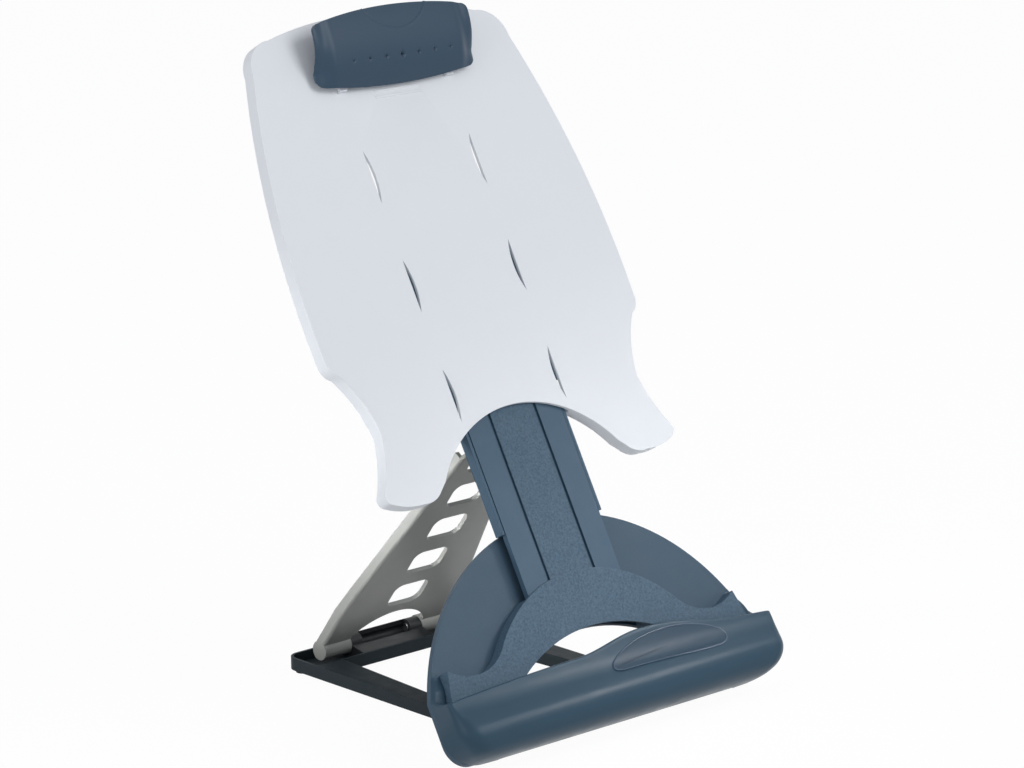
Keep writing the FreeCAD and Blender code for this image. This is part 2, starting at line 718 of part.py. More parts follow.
def make_arch_band():
    """Omega-shaped plate that covers the foot of the mast and frames the opening."""
    body = new_body("arch_band")
    crown, top = size("band_crown_radius"), size("band_top")
    centre = top - crown
    foot = size("tray_height")
    dip_out, dip = size("band_dip_out"), size("band_dip")
    end_out, end_top = size(BAND_END), size("band_end_top")
    turn = 50.0

    def on_crown(degrees):
        angle = math.radians(90 - degrees)
        return crown * math.cos(angle), centre + crown * math.sin(angle)

    bend = on_crown(turn)
    shoulder = ((bend[0] + dip_out) / 2 - 0.6, (bend[1] + dip) / 2 - 2.2)
    rise = ((dip_out + end_out) / 2, (dip + end_top) / 2 - 1.6)
    opening_top, opening_steps = arch_opening(0)
    opening_middle, opening_foot = opening_steps[0]
    steps = [
        (on_crown(turn / 2), bend),
        (shoulder, (dip_out, dip)),
        (rise, (end_out, end_top)),
        (None, (end_out + size("band_end_flare"), foot)),
        (None, opening_foot),
        (opening_middle, opening_top),
    ]
    right = path_edges((0, top), steps)
    left = path_edges((0, top), [(m and (-m[0], m[1]), (-e[0], e[1])) for m, e in steps])
    pad(body, "XY_Plane", "-disc_front", "band_front", loop(right + left))
    channel = "(mast_width / 2 + rail_play + rail_wall + rail_play)"
    pocket(body, "XY_Plane", "-disc_front", "0",
           rectangle("-" + channel, channel, "tray_height", "band_top + 1"))
    screw_holes(body, BAND_SCREWS, "-disc_front", "-1")
    return finish(body, put_on_mast)


def bowed(body, kind, edges, half_width):
    """Sweep a profile around the far axis that gives the ledge its slight bow."""
    far = size("ledge_width") ** 2 / (8 * size("ledge_bow"))
    sketch = new_sketch(body, "YZ_Plane", "0", [loop(edges)])
    axis = Part.LineSegment(Vector(0, -far, 0), Vector(far, -far, 0))
    sketch.addGeometry(axis, True)
    feature = body.newObject("PartDesign::" + kind, body.Name + "_sweep")
    feature.Profile = sketch
    feature.ReferenceAxis = (sketch, ["Axis0"])
    feature.Midplane = True
    feature.Angle = 2 * math.degrees(math.asin(half_width / far))
    return feature


def ledge_section(shrink):
    """Side view of the ledge (height, depth), moved inwards by a wall for its hollow."""
    low = size("ledge_bottom") + shrink
    tray = size("tray_height")
    deep = size("tray_depth")
    belly = size("belly_depth") - shrink
    behind = -size("disc_front") - 8
    lip_top = tray + size("lip_height")
    lip_front = deep + size("ledge_wall") + 0.8
    belly_line = size("ledge_bottom + belly_height")
    steps = [(None, (low, 1)), ((low + 3.1, belly - 4.6), (belly_line, belly))]
    if shrink:
        steps += [
            ((tray - shrink - 5, belly - 2.4), (tray - shrink, deep - 2.5)),
            (None, (tray - shrink, behind)),
        ]
    else:
        steps += [
            ((belly_line + 6.4, belly - 1.4), (tray - 4, lip_front + 1.6)),
            ((tray + 1, lip_front + 0.2), (lip_top, lip_front)),
            (None, (lip_top, deep)),
            (None, (tray, deep)),
            (None, (tray, behind)),
        ]
    steps.append((None, (low + 0.6, behind)))
    return path_edges((low + 0.6, behind), steps)


def ledge_corner(side):
    """What is cut away below a rounded lower corner of the ledge, steep first, then flat."""
    half, low = size("ledge_width / 2"), size("ledge_bottom")
    high, long = size("ledge_corner"), size("ledge_corner_length")
    knee = (half - 0.2 * long, low + 0.4 * high)
    return loop(path_edges((side * (half + 4), low - 2), [
        (None, (side * (half + 4), low + high)),
        (None, (side * half, low + high)),
        ((side * (half - 0.05 * long), low + 0.68 * high), (side * knee[0], knee[1])),
        ((side * (half - 0.52 * long), low + 0.13 * high), (side * (half - long), low)),
        (None, (side * (half - long), low - 2)),
        (None, (side * (half + 4), low - 2)),
    ]))


def ledge_ear(side):
    """Ear beside the band's end that closes the tray and follows the rim of the disc."""
    play = size("side_play")
    radius, centre = size(DISC_RADIUS), size("disc_centre")
    low, high = size("tray_height") - 1, size("band_end_top") - play
    inner = size(BAND_END) + play
    flare = inner + size("band_end_flare")
    edge = size(DISC_SIDE)
    edge_height = centre + math.sqrt(radius ** 2 - edge ** 2)
    tip = math.sqrt(radius ** 2 - (high - centre) ** 2)
    half_way = (edge_height + high) / 2
    middle = math.sqrt(radius ** 2 - (half_way - centre) ** 2)
    return loop(path_edges((side * inner, high), [
        (None, (side * flare, size("tray_height"))),
        (None, (side * flare, low)),
        (None, (side * edge, low)),
        (None, (side * edge, edge_height)),
        ((side * middle, half_way), (side * tip, high)),
        (None, (side * inner, high)),
    ]))


def make_ledge():
    """Hollow ledge: a tray for the papers, a lip in front of it and a rounded belly below."""
    body = new_body("ledge")
    half = size("ledge_width / 2")
    bowed(body, "Revolution", ledge_section(0), half)
    pocket(body, "XY_Plane", "-disc_front - 16", "belly_depth + 1",
           ledge_corner(-1), ledge_corner(1))
    bowed(body, "Groove", ledge_section(size("ledge_wall")), half - size("ledge_corner_length"))
    wall = "(ledge_width / 2 - ledge_wall)"
    for low, high in (("1 - ledge_width / 2", "-" + wall), (wall, "ledge_width / 2 - 1")):
        pad(body, "YZ_Plane", low, high,
            rectangle("tray_height - 1", "tray_height + lip_height", "-disc_front",
                      "tray_depth + ledge_wall / 2"))
    pad(body, "XY_Plane", "-disc_front", "ear_depth - disc_front", ledge_ear(-1), ledge_ear(1))
    for x, y in LEDGE_SCREWS:
        pad(body, "XY_Plane", "-disc_front", "6", circle(x, y, "screw_diameter / 2 + 2.6"))
    pocket(body, "XY_Plane", "-disc_front - 16", "-disc_front",
           rectangle("-ledge_width", "ledge_width", "0", "tray_height + 40"))
    screw_holes(body, LEDGE_SCREWS, "-disc_front", "4")
    return finish(body, put_on_mast)


def make_plaque(ledge):
    """Blank raised plaque on the lip, with a border that rises above the lip."""
    body = new_body("plaque_blank")
    middle, half = size("plaque_middle"), size("plaque_width / 2")
    foot, crown = size("plaque_foot"), size("plaque_foot + plaque_height")

    def lens(rim):
        left, right = middle - half + rim * 2.2, middle + half - rim * 2.2
        end, corner = foot + size("plaque_end"), size("plaque_corner")
        return path_edges((left, end), [
            ((middle, crown - rim), (right, end + 0.2 * corner)),
            ((right - 0.25 * corner, foot + 0.15 * corner + rim), (right - corner, foot + rim)),
            (None, (left + corner, foot + rim)),
            ((left + 0.3 * corner, foot + 0.15 * corner + rim), (left, end)),
        ])

    front = "(tray_depth + ledge_wall + 0.8 + plaque_proud)"
    pad(body, "XY_Plane", "tray_depth + 1", front, loop(lens(0)))
    pocket(body, "XY_Plane", front + " - plaque_sink", front + " + 1",
           loop(lens(size("plaque_rim"))))
    put_on_mast(body)
    plaque = doc.addObject("Part::Cut", "lip_plaque")
    plaque.Label = "lip_plaque"
    plaque.Base = body
    plaque.Tool = ledge
    return finish(plaque, lambda piece: None)


def make_tilt_track():
    """Track on the back of the mast in which the shoes of the leg slide."""
    body = new_body("tilt_track")
    outer, inner = "track_width / 2", "(track_width / 2 - track_wall)"
    floor_back = "(spine_depth + track_floor)"
    lip_front = "(spine_depth + track_floor + 2 * shoe_play + 2 * shoe_radius)"
    track_back = "(spine_depth + 2 * track_floor + 2 * shoe_play + 2 * shoe_radius)"
    pad(body, "XY_Plane", "-" + floor_back, "-spine_depth",
        rectangle("-" + outer, outer, "track_start - track_end_pad", "track_end + track_end_pad"))
    pad(body, "XY_Plane", "-" + track_back, "-" + floor_back,
        rectangle("-" + outer, "-" + inner, "track_start", "track_end"),
        rectangle(inner, outer, "track_start", "track_end"))
    pad(body, "XY_Plane", "-" + track_back, "-" + lip_front,
        rectangle("-" + outer, "track_lip - " + inner, "track_start", "track_end"),
        rectangle(inner + " - track_lip", outer, "track_start", "track_end"))
    pad(body, "XY_Plane", "-" + track_back, "-" + floor_back,
        rectangle("-" + outer, "track_lip - " + inner, "track_start", "track_start + track_wall"),
        rectangle(inner + " - track_lip", outer, "track_start", "track_start + track_wall"),
        rectangle("-" + outer, "track_lip - " + inner, "track_end - track_wall", "track_end"),
        rectangle(inner + " - track_lip", outer, "track_end - track_wall", "track_end"))
    screw_holes(body, TRACK_SCREWS, "-" + floor_back, "-spine_depth")
    return finish(body, put_on_mast)


def make_mast_screws():
    finish(screw_set("mast_screws", MAST_SCREWS, "-" + DISC_BACK, "-1"), put_on_mast)
    finish(screw_set("track_screws", TRACK_SCREWS, "-(spine_depth + track_floor)", "-1"),
           put_on_mast)
    finish(screw_set("band_screws", BAND_SCREWS, "-" + DISC_BACK, "-1"), put_on_mast)
    finish(screw_set("ledge_screws", LEDGE_SCREWS, "-" + DISC_BACK, "4"), put_on_mast)


# Leg ------------------------------------------------------------------------------------------

def leg_half_widths(inset_by):
    """Right edge of the leg from its feet to its neck, as (x, y) formulas."""
    return [
        ("leg_foot_width / 2 - %s" % inset_by, "0"),
        ("leg_foot_width / 2 - %s" % inset_by, "leg_kink"),
        ("leg_shoulder_width / 2 - %s" % inset_by, "leg_shoulder"),
        ("leg_neck_width / 2 - %s" % inset_by, "leg_neck"),
    ]


def negative(points):
    return [("-(%s)" % x, y) for x, y in points]


def rounded_window(middle):
    """One window of the leg, with rounded corners."""
    half_x, half_y = size("window_width / 2"), size("window_height / 2")
    radius = size("window_corner")
    slack = radius * (1 - math.sqrt(0.5))
    right, upper, lower = half_x, middle + half_y, middle - half_y
    return symmetric_path((0, upper), [
        (None, (right - radius, upper)),
        ((right - slack, upper - slack), (right, upper - radius)),
        (None, (right, lower + radius)),
        ((right - slack, lower + slack), (right - radius, lower)),
        (None, (0, lower)),
    ])


def make_leg():
    """Tapered leg with folded-back sides, a row of windows and an arch between its feet."""
    body = new_body("prop_leg")
    right = leg_half_widths("0")
    tongue = "leg_tongue_width / 2"
    pad(body, "XY_Plane", "-leg_sheet / 2", "leg_sheet / 2",
        polygon(right + [(tongue, "leg_neck + 8"), (tongue, "leg_reach"),
                         ("-" + tongue, "leg_reach"), ("-" + tongue, "leg_neck + 8")]
                + list(reversed(negative(right)))))
    inner = leg_half_widths("leg_sheet")
    flange_back = "(leg_sheet / 2 - leg_flange)"
    pad(body, "XY_Plane", flange_back, "-leg_sheet / 2",
        polygon(right + list(reversed(inner))),
        polygon(negative(right) + list(reversed(negative(inner)))))
    front = size("leg_sheet / 2")
    long_sides = size("leg_foot_width / 2 - leg_sheet"), size("leg_neck_width / 2")
    fillet(
        body, "leg_sheet * 0.8",
        lambda edge: edge.BoundBox.ZLength < 0.001
        and abs(edge.CenterOfMass.z - front) < 0.001
        and edge.BoundBox.YLength > 5
        and abs(edge.CenterOfMass.x) > long_sides[1],
    )
    knuckle_inner = "(hinge_block_width / 2 + side_play)"
    for low, high in ((knuckle_inner, "leg_foot_width / 2"),
                      ("-leg_foot_width / 2", "-" + knuckle_inner)):
        pad(body, "YZ_Plane", low, high, circle("0", "0", "leg_knuckle"))
    pad(body, "YZ_Plane", "-" + tongue, tongue, circle("leg_reach", "0", "leg_eye"))
    reach = size("notch_height")
    side, base = size(knuckle_inner), size("leg_knuckle") + 2.6
    arch = path_edges((side, -9), [
        (None, (side, base)),
        ((0, reach), (-side, base)),
        (None, (-side, -9)),
        (None, (side, -9)),
    ])
    pocket(body, "XY_Plane", flange_back, "leg_sheet", loop(arch))
    count = 5
    first, pitch = size("window_first"), size("window_pitch")
    pocket(body, "XY_Plane", "-leg_sheet", "leg_sheet",
           *[loop(rounded_window(first + pitch * number)) for number in range(count)])
    bore_end = "(leg_foot_width / 2 - leg_sheet + side_play)"
    pocket(body, "YZ_Plane", "-" + bore_end, bore_end,
           circle("0", "0", "pin_diameter / 2 + pin_play"))
    pocket(body, "YZ_Plane", "-" + tongue, tongue,
           circle("leg_reach", "0", "upper_pin_diameter / 2"))
    return finish(body, put_on_leg)


SHOE_OUTER = "(track_width / 2 - track_wall - 1)"


def make_leg_top():
    finish(
        group("leg_top_pin", [rod("top_pin", "x", "upper_pin_diameter / 2", "2 * " + SHOE_OUTER,
                                  "-" + SHOE_OUTER, "leg_reach", "0")]),
        put_on_leg,
    )
    shoes = []
    inner = "(leg_tongue_width / 2 + 1)"
    for side, start in (("left", "-" + SHOE_OUTER), ("right", inner)):
        length = SHOE_OUTER + " - " + inner
        shoe = doc.addObject("Part::Cut", "shoe_" + side)
        shoe.Base = rod("shoe_body_" + side, "x", "shoe_radius", length, start, "leg_reach", "0")
        shoe.Tool = rod("shoe_bore_" + side, "x", "upper_pin_diameter / 2", length,
                        start, "leg_reach", "0")
        shoes.append(shoe)
    finish(group("leg_shoes", shoes), put_on_leg)


# Board and its slide rails --------------------------------------------------------------------

BOARD_BACK = "board_gap"
BOARD_FRONT = "(board_gap + board_plate)"
RAIL_INNER = "(mast_width / 2 + rail_play)"
RAIL_OUTER = "(mast_width / 2 + rail_play + rail_wall)"
WING_SCREWS = ["rail_wing_start + 12", "(rail_wing_start + rail_wing_end) / 2",
               "rail_wing_end - 9"]
WING_SCREW_OUT = "(rail_wing_out - 8)"


def board_outline():
    """Bottle-shaped outline with a waist, two wings and an arch between them."""
    top, sag = size("board_top"), size("board_sag")
    top_out = size("board_top_width / 2")
    wide, widest = size("board_width / 2"), size("board_widest")
    waist_out, waist = size("board_waist_width / 2"), size("board_waist")
    wing, foot, foot_out = size("wing_width / 2"), size("wing_foot"), size("wing_foot_out")
    arch_top, arch = size("board_arch_top"), size("board_arch_radius")
    arch_centre = arch_top - arch

    def on_arch(degrees):
        angle = math.radians(90 - degrees)
        return arch * math.cos(angle), arch_centre + arch * math.sin(angle)

    corner = 17.0
    side_top = (top_out, top - sag - corner)
    arch_end = on_arch(55)
    return symmetric_path((0, top), [
        ((top_out / 2, top - sag * 0.18), (top_out - corner, top - sag)),
        ((top_out - corner * 0.27, top - sag - corner * 0.32), side_top),
        (((top_out + wide) / 2 + 4.5, (side_top[1] + widest) / 2 + 12), (wide, widest + 12)),
        (None, (wide - 0.4, widest - 5)),
        ((wide - 2.2, widest - 9), (wide - 6, widest - 12)),
        ((waist_out + 4, waist + 17), (waist_out, waist)),
        ((waist_out + 3.5, waist - 14), (wing - 1, waist - 29)),
        ((wing + 0.2, waist - 33), (wing - 3, waist - 36.5)),
        ((wing - 11, foot + 0.9), (foot_out, foot)),
        ((foot_out - 8, foot + 1.2), (foot_out - 12.6, foot + 4.6)),
        (None, arch_end),
        (on_arch(28), (0, arch_top)),
    ])


def slit(side, middle):
    """A slit with one straight side and one that curves towards the middle of the board."""
    out, half, width = size("slit_out"), size("slit_length / 2"), size("slit_width")
    return loop(path_edges((side * out, middle - half), [
        ((side * (out - width), middle), (side * out, middle + half)),
        (None, (side * out, middle - half)),
    ]))


def make_board():
    """Thin board with a deep edge, open behind, and six slits in two columns."""
    body = new_body("document_board")
    outline = board_outline()
    rim_back = "(board_gap + board_plate - board_rim)"
    pad(body, "XY_Plane", rim_back, BOARD_FRONT, loop(outline))
    pocket(body, "XY_Plane", rim_back, BOARD_BACK, loop(inset(outline, size("board_wall"))))
    passage = RAIL_OUTER + " + 2"
    pocket(body, "XY_Plane", rim_back, BOARD_BACK,
           rectangle("-(" + passage + ")", passage, "board_arch_top - board_arch_radius",
                     "board_arch_top + 4"))
    middles = [size("slit_first") + size("slit_pitch") * row for row in range(3)]
    pocket(body, "XY_Plane", rim_back, BOARD_FRONT + " + 1",
           *[slit(side, middle) for side in (-1, 1) for middle in middles])
    ribs = [
        rectangle("-16", "16", "clip_foot - 2.5 - %s" % step, "clip_foot - 1.3 - %s" % step)
        for step in ("0", "3.4", "6.8")
    ]
    pad(body, "XY_Plane", BOARD_FRONT, BOARD_FRONT + " + 0.4", *ribs)
    screw_holes(body, [(x, y) for y in WING_SCREWS for x in (WING_SCREW_OUT, "-" + WING_SCREW_OUT)],
                BOARD_BACK, BOARD_BACK + " + 1.4")
    screw_holes(body, BRACKET_SCREWS, BOARD_BACK, BOARD_FRONT)
    return finish(body, put_on_mast)


def on_side(side, low, high):
    """Limits between two distances from the middle, on the given side."""
    return (low, high) if side > 0 else ("-" + high, "-" + low)


def make_rail(label, side):
    """Rail that hooks round a guide edge of the mast and carries the board on its wing."""
    body = new_body(label)
    wall = on_side(side, RAIL_INNER, RAIL_OUTER)
    hook = on_side(side, "(mast_width / 2 + rail_play - rail_hook)", RAIL_OUTER)
    wing = on_side(side, RAIL_INNER, "rail_wing_out")
    hook_front = "(mast_plate + rail_play)"
    pad(body, "XY_Plane", "-rail_back", "-rail_front_gap",
        rectangle(wall[0], wall[1], "rail_start", "rail_wing_end"))
    pad(body, "XY_Plane", "-rail_back", "-" + hook_front,
        rectangle(hook[0], hook[1], "rail_start", "rail_wing_end"))
    wing_back = "(board_gap - rail_wing_sheet)"
    pad(body, "XY_Plane", wing_back, BOARD_BACK,
        rectangle(wing[0], wing[1], "rail_wing_start", "rail_wing_end"))
    brake = on_side(side, "(mast_width / 2 + rail_play - rail_hook + 0.6)", RAIL_INNER)
    pocket(body, "XY_Plane", "-%s - 1.2" % hook_front, "-" + hook_front,
           rectangle(brake[0], brake[1], "brake_middle - brake_length / 2",
                     "brake_middle + brake_length / 2"))
    sign = "" if side > 0 else "-"
    screw_holes(body, [(sign + WING_SCREW_OUT, y) for y in WING_SCREWS], wing_back, BOARD_BACK)
    finish(body, put_on_mast)

    shoe = new_body(label.replace("slide_rail", "brake_pad"))
    pad(shoe, "XY_Plane", "-%s - 1.2" % hook_front, "-mast_plate - 0.3",
        rectangle(brake[0], brake[1], "brake_middle - brake_length / 2",
                  "brake_middle + brake_length / 2"))
    finish(shoe, put_on_mast)


def make_rail_screws():
    places = [(x, y) for y in WING_SCREWS for x in (WING_SCREW_OUT, "-" + WING_SCREW_OUT)]
    return finish(
        screw_set("rail_screws", places, "(board_gap - rail_wing_sheet)", BOARD_BACK + " + 1.4"),
        put_on_mast,
    )


# Clip -----------------------------------------------------------------------------------------

BRACKET_SCREWS = both_sides("bracket_width / 2 - 8", "clip_pin_height")
CLIP_AXIS = (BOARD_FRONT + " + clip_pin_depth")
EAR_INNER = "(bracket_width / 2 + side_play)"
EAR_OUTER = "(bracket_width / 2 + side_play + bracket_ear)"


def make_bracket():
    """Bracket on the board, with two ears that hold the clip's pin."""
    body = new_body("clip_bracket")
    low, high = "clip_pin_height - bracket_height / 2", "clip_pin_height + bracket_height / 2"
    pad(body, "XY_Plane", BOARD_FRONT, BOARD_FRONT + " + 1.8",
        rectangle("-bracket_width / 2", "bracket_width / 2", low, high))
    for ear_low, ear_high in (("bracket_width / 2 - bracket_ear", "bracket_width / 2"),
                              ("-bracket_width / 2", "bracket_ear - bracket_width / 2")):
        pad(body, "YZ_Plane", ear_low, ear_high,
            polygon([(low, BOARD_FRONT), (high, BOARD_FRONT),
                     ("clip_pin_height + 2.6", CLIP_AXIS), ("clip_pin_height - 2.6", CLIP_AXIS)]))
        pad(body, "YZ_Plane", ear_low, ear_high, circle("clip_pin_height", CLIP_AXIS, "2.6"))
    pocket(body, "YZ_Plane", "-bracket_width / 2", "bracket_width / 2",
           circle("clip_pin_height", CLIP_AXIS, "clip_pin_diameter / 2"))
    screw_holes(body, BRACKET_SCREWS, BOARD_FRONT, BOARD_FRONT + " + 1.2")
    return finish(body, put_on_mast)


def clip_face(offset):
    """Outer curve of the clip in side view (height, depth), moved inwards by an offset."""
    front = size(BOARD_FRONT)
    foot = (size("clip_foot - clip_foot_bow"), front + size("clip_foot_depth"))
    crown = (size("clip_crown + clip_bow"), front + size("clip_crown_depth"))
    middle = ((foot[0] + crown[0]) / 2, (foot[1] + crown[1]) / 2 + size("clip_bulge"))
    curve = Part.Arc(Vector(foot[0], foot[1], 0), Vector(middle[0], middle[1], 0),
                     Vector(crown[0], crown[1], 0)).toShape().Curve
    radius = curve.Radius - offset
    centre = curve.Center

    def moved(point):
        away = Vector(point[0], point[1], 0) - centre
        away = away * (radius / away.Length)
        return centre.x + away.x, centre.y + away.y

    return moved(foot), moved(middle), moved(crown)


def make_clip():
    """Bowed clip plate with side cheeks, ears around its pin and a row of dimples."""
    half = size("clip_width / 2")
    front = size(BOARD_FRONT)
    side_view = new_body("clip_side_view")
    foot, middle, crown = clip_face(0)
    back = front + size("clip_foot_depth")
    filled = path_edges(foot, [
        (middle, crown),
        (None, (crown[0] + 1, crown[1] - 3.2)),
        (None, (size("clip_pin_height") + 3, back + 1.6)),
        (None, (foot[0] + 3, back)),
        (None, foot),
    ])
    pad(side_view, "YZ_Plane", "-clip_width / 2 - 2", "clip_width / 2 + 2", loop(filled))
    in_foot, in_middle, in_crown = clip_face(size("clip_sheet"))
    hollow = path_edges(in_foot, [
        (in_middle, in_crown),
        (None, (in_crown[0], back - 1)),
        (None, (in_foot[0], back - 1)),
        (None, in_foot),
    ])
    pocket(side_view, "YZ_Plane", "clip_sheet - clip_width / 2", "clip_width / 2 - clip_sheet",
           loop(hollow))
    front_view = new_body("clip_front_view")
    low, high = size("clip_foot"), size("clip_crown")
    outline = symmetric_path((0, high + size("clip_bow")), [
        ((half * 0.55, high + size("clip_bow") * 0.72), (half - 3, high)),
        ((half - 0.9, high - 0.9), (half - 0.4, high - 3)),
        ((half + 0.7, (low + high) / 2), (half - 0.4, low + 3)),
        ((half - 0.9, low + 0.9), (half - 3, low)),
        ((half * 0.5, low - size("clip_foot_bow") * 0.8), (0, low - size("clip_foot_bow"))),
    ])
    pad(front_view, "XY_Plane", BOARD_FRONT, BOARD_FRONT + " + 24", loop(outline))
    shell = doc.addObject("Part::Common", "clip_shell")
    shell.Base = side_view
    shell.Tool = front_view
    ears = new_body("clip_ears")
    for low_x, high_x in ((EAR_INNER, EAR_OUTER), ("-" + EAR_OUTER, "-" + EAR_INNER)):
        pad(ears, "YZ_Plane", low_x, high_x, circle("clip_pin_height", CLIP_AXIS, "2.6"))
        pad(ears, "YZ_Plane", low_x, high_x,
            rectangle("clip_pin_height - 2.6", "clip_pin_height + 2.6", CLIP_AXIS,
                      BOARD_FRONT + " + clip_crown_depth - 2"))
    joined = doc.addObject("Part::MultiFuse", "clip_joined")
    joined.Shapes = [shell, ears]
    tools = [rod("clip_ear_bore", "x", "clip_pin_diameter / 2 + pin_play", "2 * " + EAR_OUTER,
                 "-" + EAR_OUTER, "clip_pin_height", CLIP_AXIS)]
    for number in range(-3, 4):
        radius = "%s" % (1.25 - 0.17 * abs(number))
        tools.append(rod("dimple_%d" % (number + 3), "z", radius, "9",
                         "dimple_pitch * %d" % number, "clip_pin_height - 5",
                         BOARD_FRONT + " + clip_crown_depth - 4.6"))
    tool = doc.addObject("Part::Compound", "clip_tools")
    tool.Links = tools
    plate = doc.addObject("Part::Cut", "clip_plate")
    plate.Label = "clip_plate"
    plate.Base = joined
    plate.Tool = tool
    return finish(plate, put_on_mast)


def make_clip_parts(plate):
    finish(
        group("clip_pin", [rod("clip_pin_bar", "x", "clip_pin_diameter / 2", "clip_pin_length",
                               "-clip_pin_length / 2", "clip_pin_height", CLIP_AXIS)]),
        put_on_mast,
    )
    spring = doc.addObject("Part::Feature", "spring_coil")
    wire = size("spring_wire")
    pitch = wire * 1.15
    coil_radius = size("clip_pin_diameter / 2") + 0.3 + wire / 2
    helix = Part.makeHelix(pitch, pitch * size("spring_turns"), coil_radius)
    section = Part.Wire([Part.makeCircle(wire / 2, Vector(coil_radius, 0, 0), Vector(0, 1, 0))])
    coil = Part.Wire(helix).makePipeShell([section], True, True)
    length = pitch * size("spring_turns")
    coil.Placement = Placement(
        Vector(-length / 2, size("clip_pin_height"), size(CLIP_AXIS)),
        Rotation(Vector(0, 1, 0), 90),
    )
    spring.Shape = coil.copy()
    finish(group("clip_spring", [spring]), put_on_mast)
    pads = []
    for side, start in (("left", "-jaw_out - jaw_width / 2"), ("right", "jaw_out - jaw_width / 2")):
        block = doc.addObject("Part::Box", "jaw_" + side)
        block.setExpression("Length", bound("jaw_width"))
        block.setExpression("Width", bound("clip_foot_bow + 3.4"))
        block.setExpression("Height", bound("2.2"))
        block.setExpression("Placement.Base.x", bound(start))
        block.setExpression("Placement.Base.y", bound("clip_foot - clip_foot_bow - 0.6"))
        block.setExpression("Placement.Base.z", bound(BOARD_FRONT + " + 0.3"))
        pads.append(block)
    both = group("jaw_blocks", pads)
    put_on_mast(both)
    jaws = doc.addObject("Part::Cut", "clip_jaw_pads")
    jaws.Label = "clip_jaw_pads"
    jaws.Base = both
    jaws.Tool = plate
    finish(jaws, lambda piece: None)


def make_bracket_screws():
    return finish(
        screw_set("bracket_screws", BRACKET_SCREWS, BOARD_BACK, BOARD_FRONT + " + 1.2"),
        put_on_mast,
    )


make_base_frame()
make_feet()
make_hinge_block()
make_hinge_pins()
make_mast()
make_centre_strip()
make_half_disc()
make_arch_band()
make_plaque(make_ledge())
make_tilt_track()
make_mast_screws()
make_leg()
make_leg_top()
make_board()
make_rail("slide_rail_left", -1)
make_rail("slide_rail_right", 1)
make_rail_screws()
make_bracket()
make_clip_parts(make_clip())
make_bracket_screws()

doc.recompute()
for item in doc.Objects:
    if {"Invalid", "Error"} & set(item.State):
        raise ValueError("%s failed: %s" % (item.Name, item.State))
os.makedirs("parts", exist_ok=True)
for piece in PIECES:
    shape = piece.Shape
    if shape.isNull() or not shape.isValid():
        raise ValueError("%s has no valid shape" % piece.Label)
    shape.exportStep("parts/%s.step" % piece.Label)
    print("%-20s %d solid(s) %10.1f mm3" % (piece.Label, len(shape.Solids), shape.Volume))
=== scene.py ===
import math

import bmesh
import bpy
from mathutils import Matrix, Vector


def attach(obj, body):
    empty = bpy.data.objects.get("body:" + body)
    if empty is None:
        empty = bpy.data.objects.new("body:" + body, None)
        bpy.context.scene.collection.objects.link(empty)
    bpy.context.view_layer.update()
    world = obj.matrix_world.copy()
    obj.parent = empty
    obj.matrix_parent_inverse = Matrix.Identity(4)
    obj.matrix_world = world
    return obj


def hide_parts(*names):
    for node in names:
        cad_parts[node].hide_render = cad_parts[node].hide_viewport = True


# Document holder. The scene is in metres in the frame of the solids. Lengths of the ledge, the
# plaque, the clip and the screws are in millimetres in the frame of the mast: u to the right,
# v up the mast from its foot, w out of its face. on_mast() takes them to the scene.

MM = 0.001
MAST_FOOT = 99.3              # foot of the mast in front of the origin
MAST_LIFT = 0.001             # foot of the mast above the desk
LEAN = math.radians(60.4)     # mast above the desk
DISC_FRONT = -6.3             # face of the half disc

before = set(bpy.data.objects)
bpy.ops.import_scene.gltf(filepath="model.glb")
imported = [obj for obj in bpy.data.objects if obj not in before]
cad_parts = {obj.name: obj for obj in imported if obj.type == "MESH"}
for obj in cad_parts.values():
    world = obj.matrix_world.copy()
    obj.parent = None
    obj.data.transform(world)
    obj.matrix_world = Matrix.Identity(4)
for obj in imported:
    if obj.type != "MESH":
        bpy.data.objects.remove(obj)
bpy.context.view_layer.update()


def on_mast(u, v, w):
    """The place in the frame of the solids of a point u, v, w of the mast."""
    y = v * math.cos(LEAN) - w * math.sin(LEAN) - MAST_FOOT
    z = v * math.sin(LEAN) + w * math.cos(LEAN) + MAST_LIFT
    return Vector((u, y, z)) * MM


def smooth(low, high, value):
    """0 at low, 1 at high, and a soft ramp between them."""
    t = min(max((value - low) / (high - low), 0.0), 1.0)
    return t * t * (3 - 2 * t)


def curve_through(points, value):
    """Height of a smooth curve through (place, height) points."""
    for (x0, y0), (x1, y1) in zip(points, points[1:]):
        if value <= x1:
            break
    index = points.index((x0, y0))
    before = points[max(index - 1, 0)]
    after = points[min(index + 2, len(points) - 1)]
    slope_0 = (y1 - before[1]) / (x1 - before[0])
    slope_1 = (after[1] - y0) / (after[0] - x0)
    gap = x1 - x0
    t = min(max((value - x0) / gap, 0.0), 1.0)
    return (y0 * (1 + 2 * t) * (1 - t) ** 2 + slope_0 * gap * t * (1 - t) ** 2
            + y1 * t * t * (3 - 2 * t) + slope_1 * gap * t * t * (t - 1))


# Materials ------------------------------------------------------------------------------------

FLOW_SIZE = 38                # mm, patches of slightly lighter and darker material
RUB_SIZE = 9                  # mm, patches that are rubbed
RUB_SPAN = (0.3, 0.7)         # noise from the most polished to the dullest patch
POLISHED, DULLED = 0.04, 0.05     # change of the roughness there
PLASTIC_IOR = 1.5


def linear(code):
    """An sRGB hex colour as linear red, green, blue, alpha."""
    parts = [int(code[i:i + 2], 16) / 255 for i in (0, 2, 4)]
    return tuple(c / 12.92 if c <= 0.04045 else ((c + 0.055) / 1.055) ** 2.4 for c in parts) + (1,)


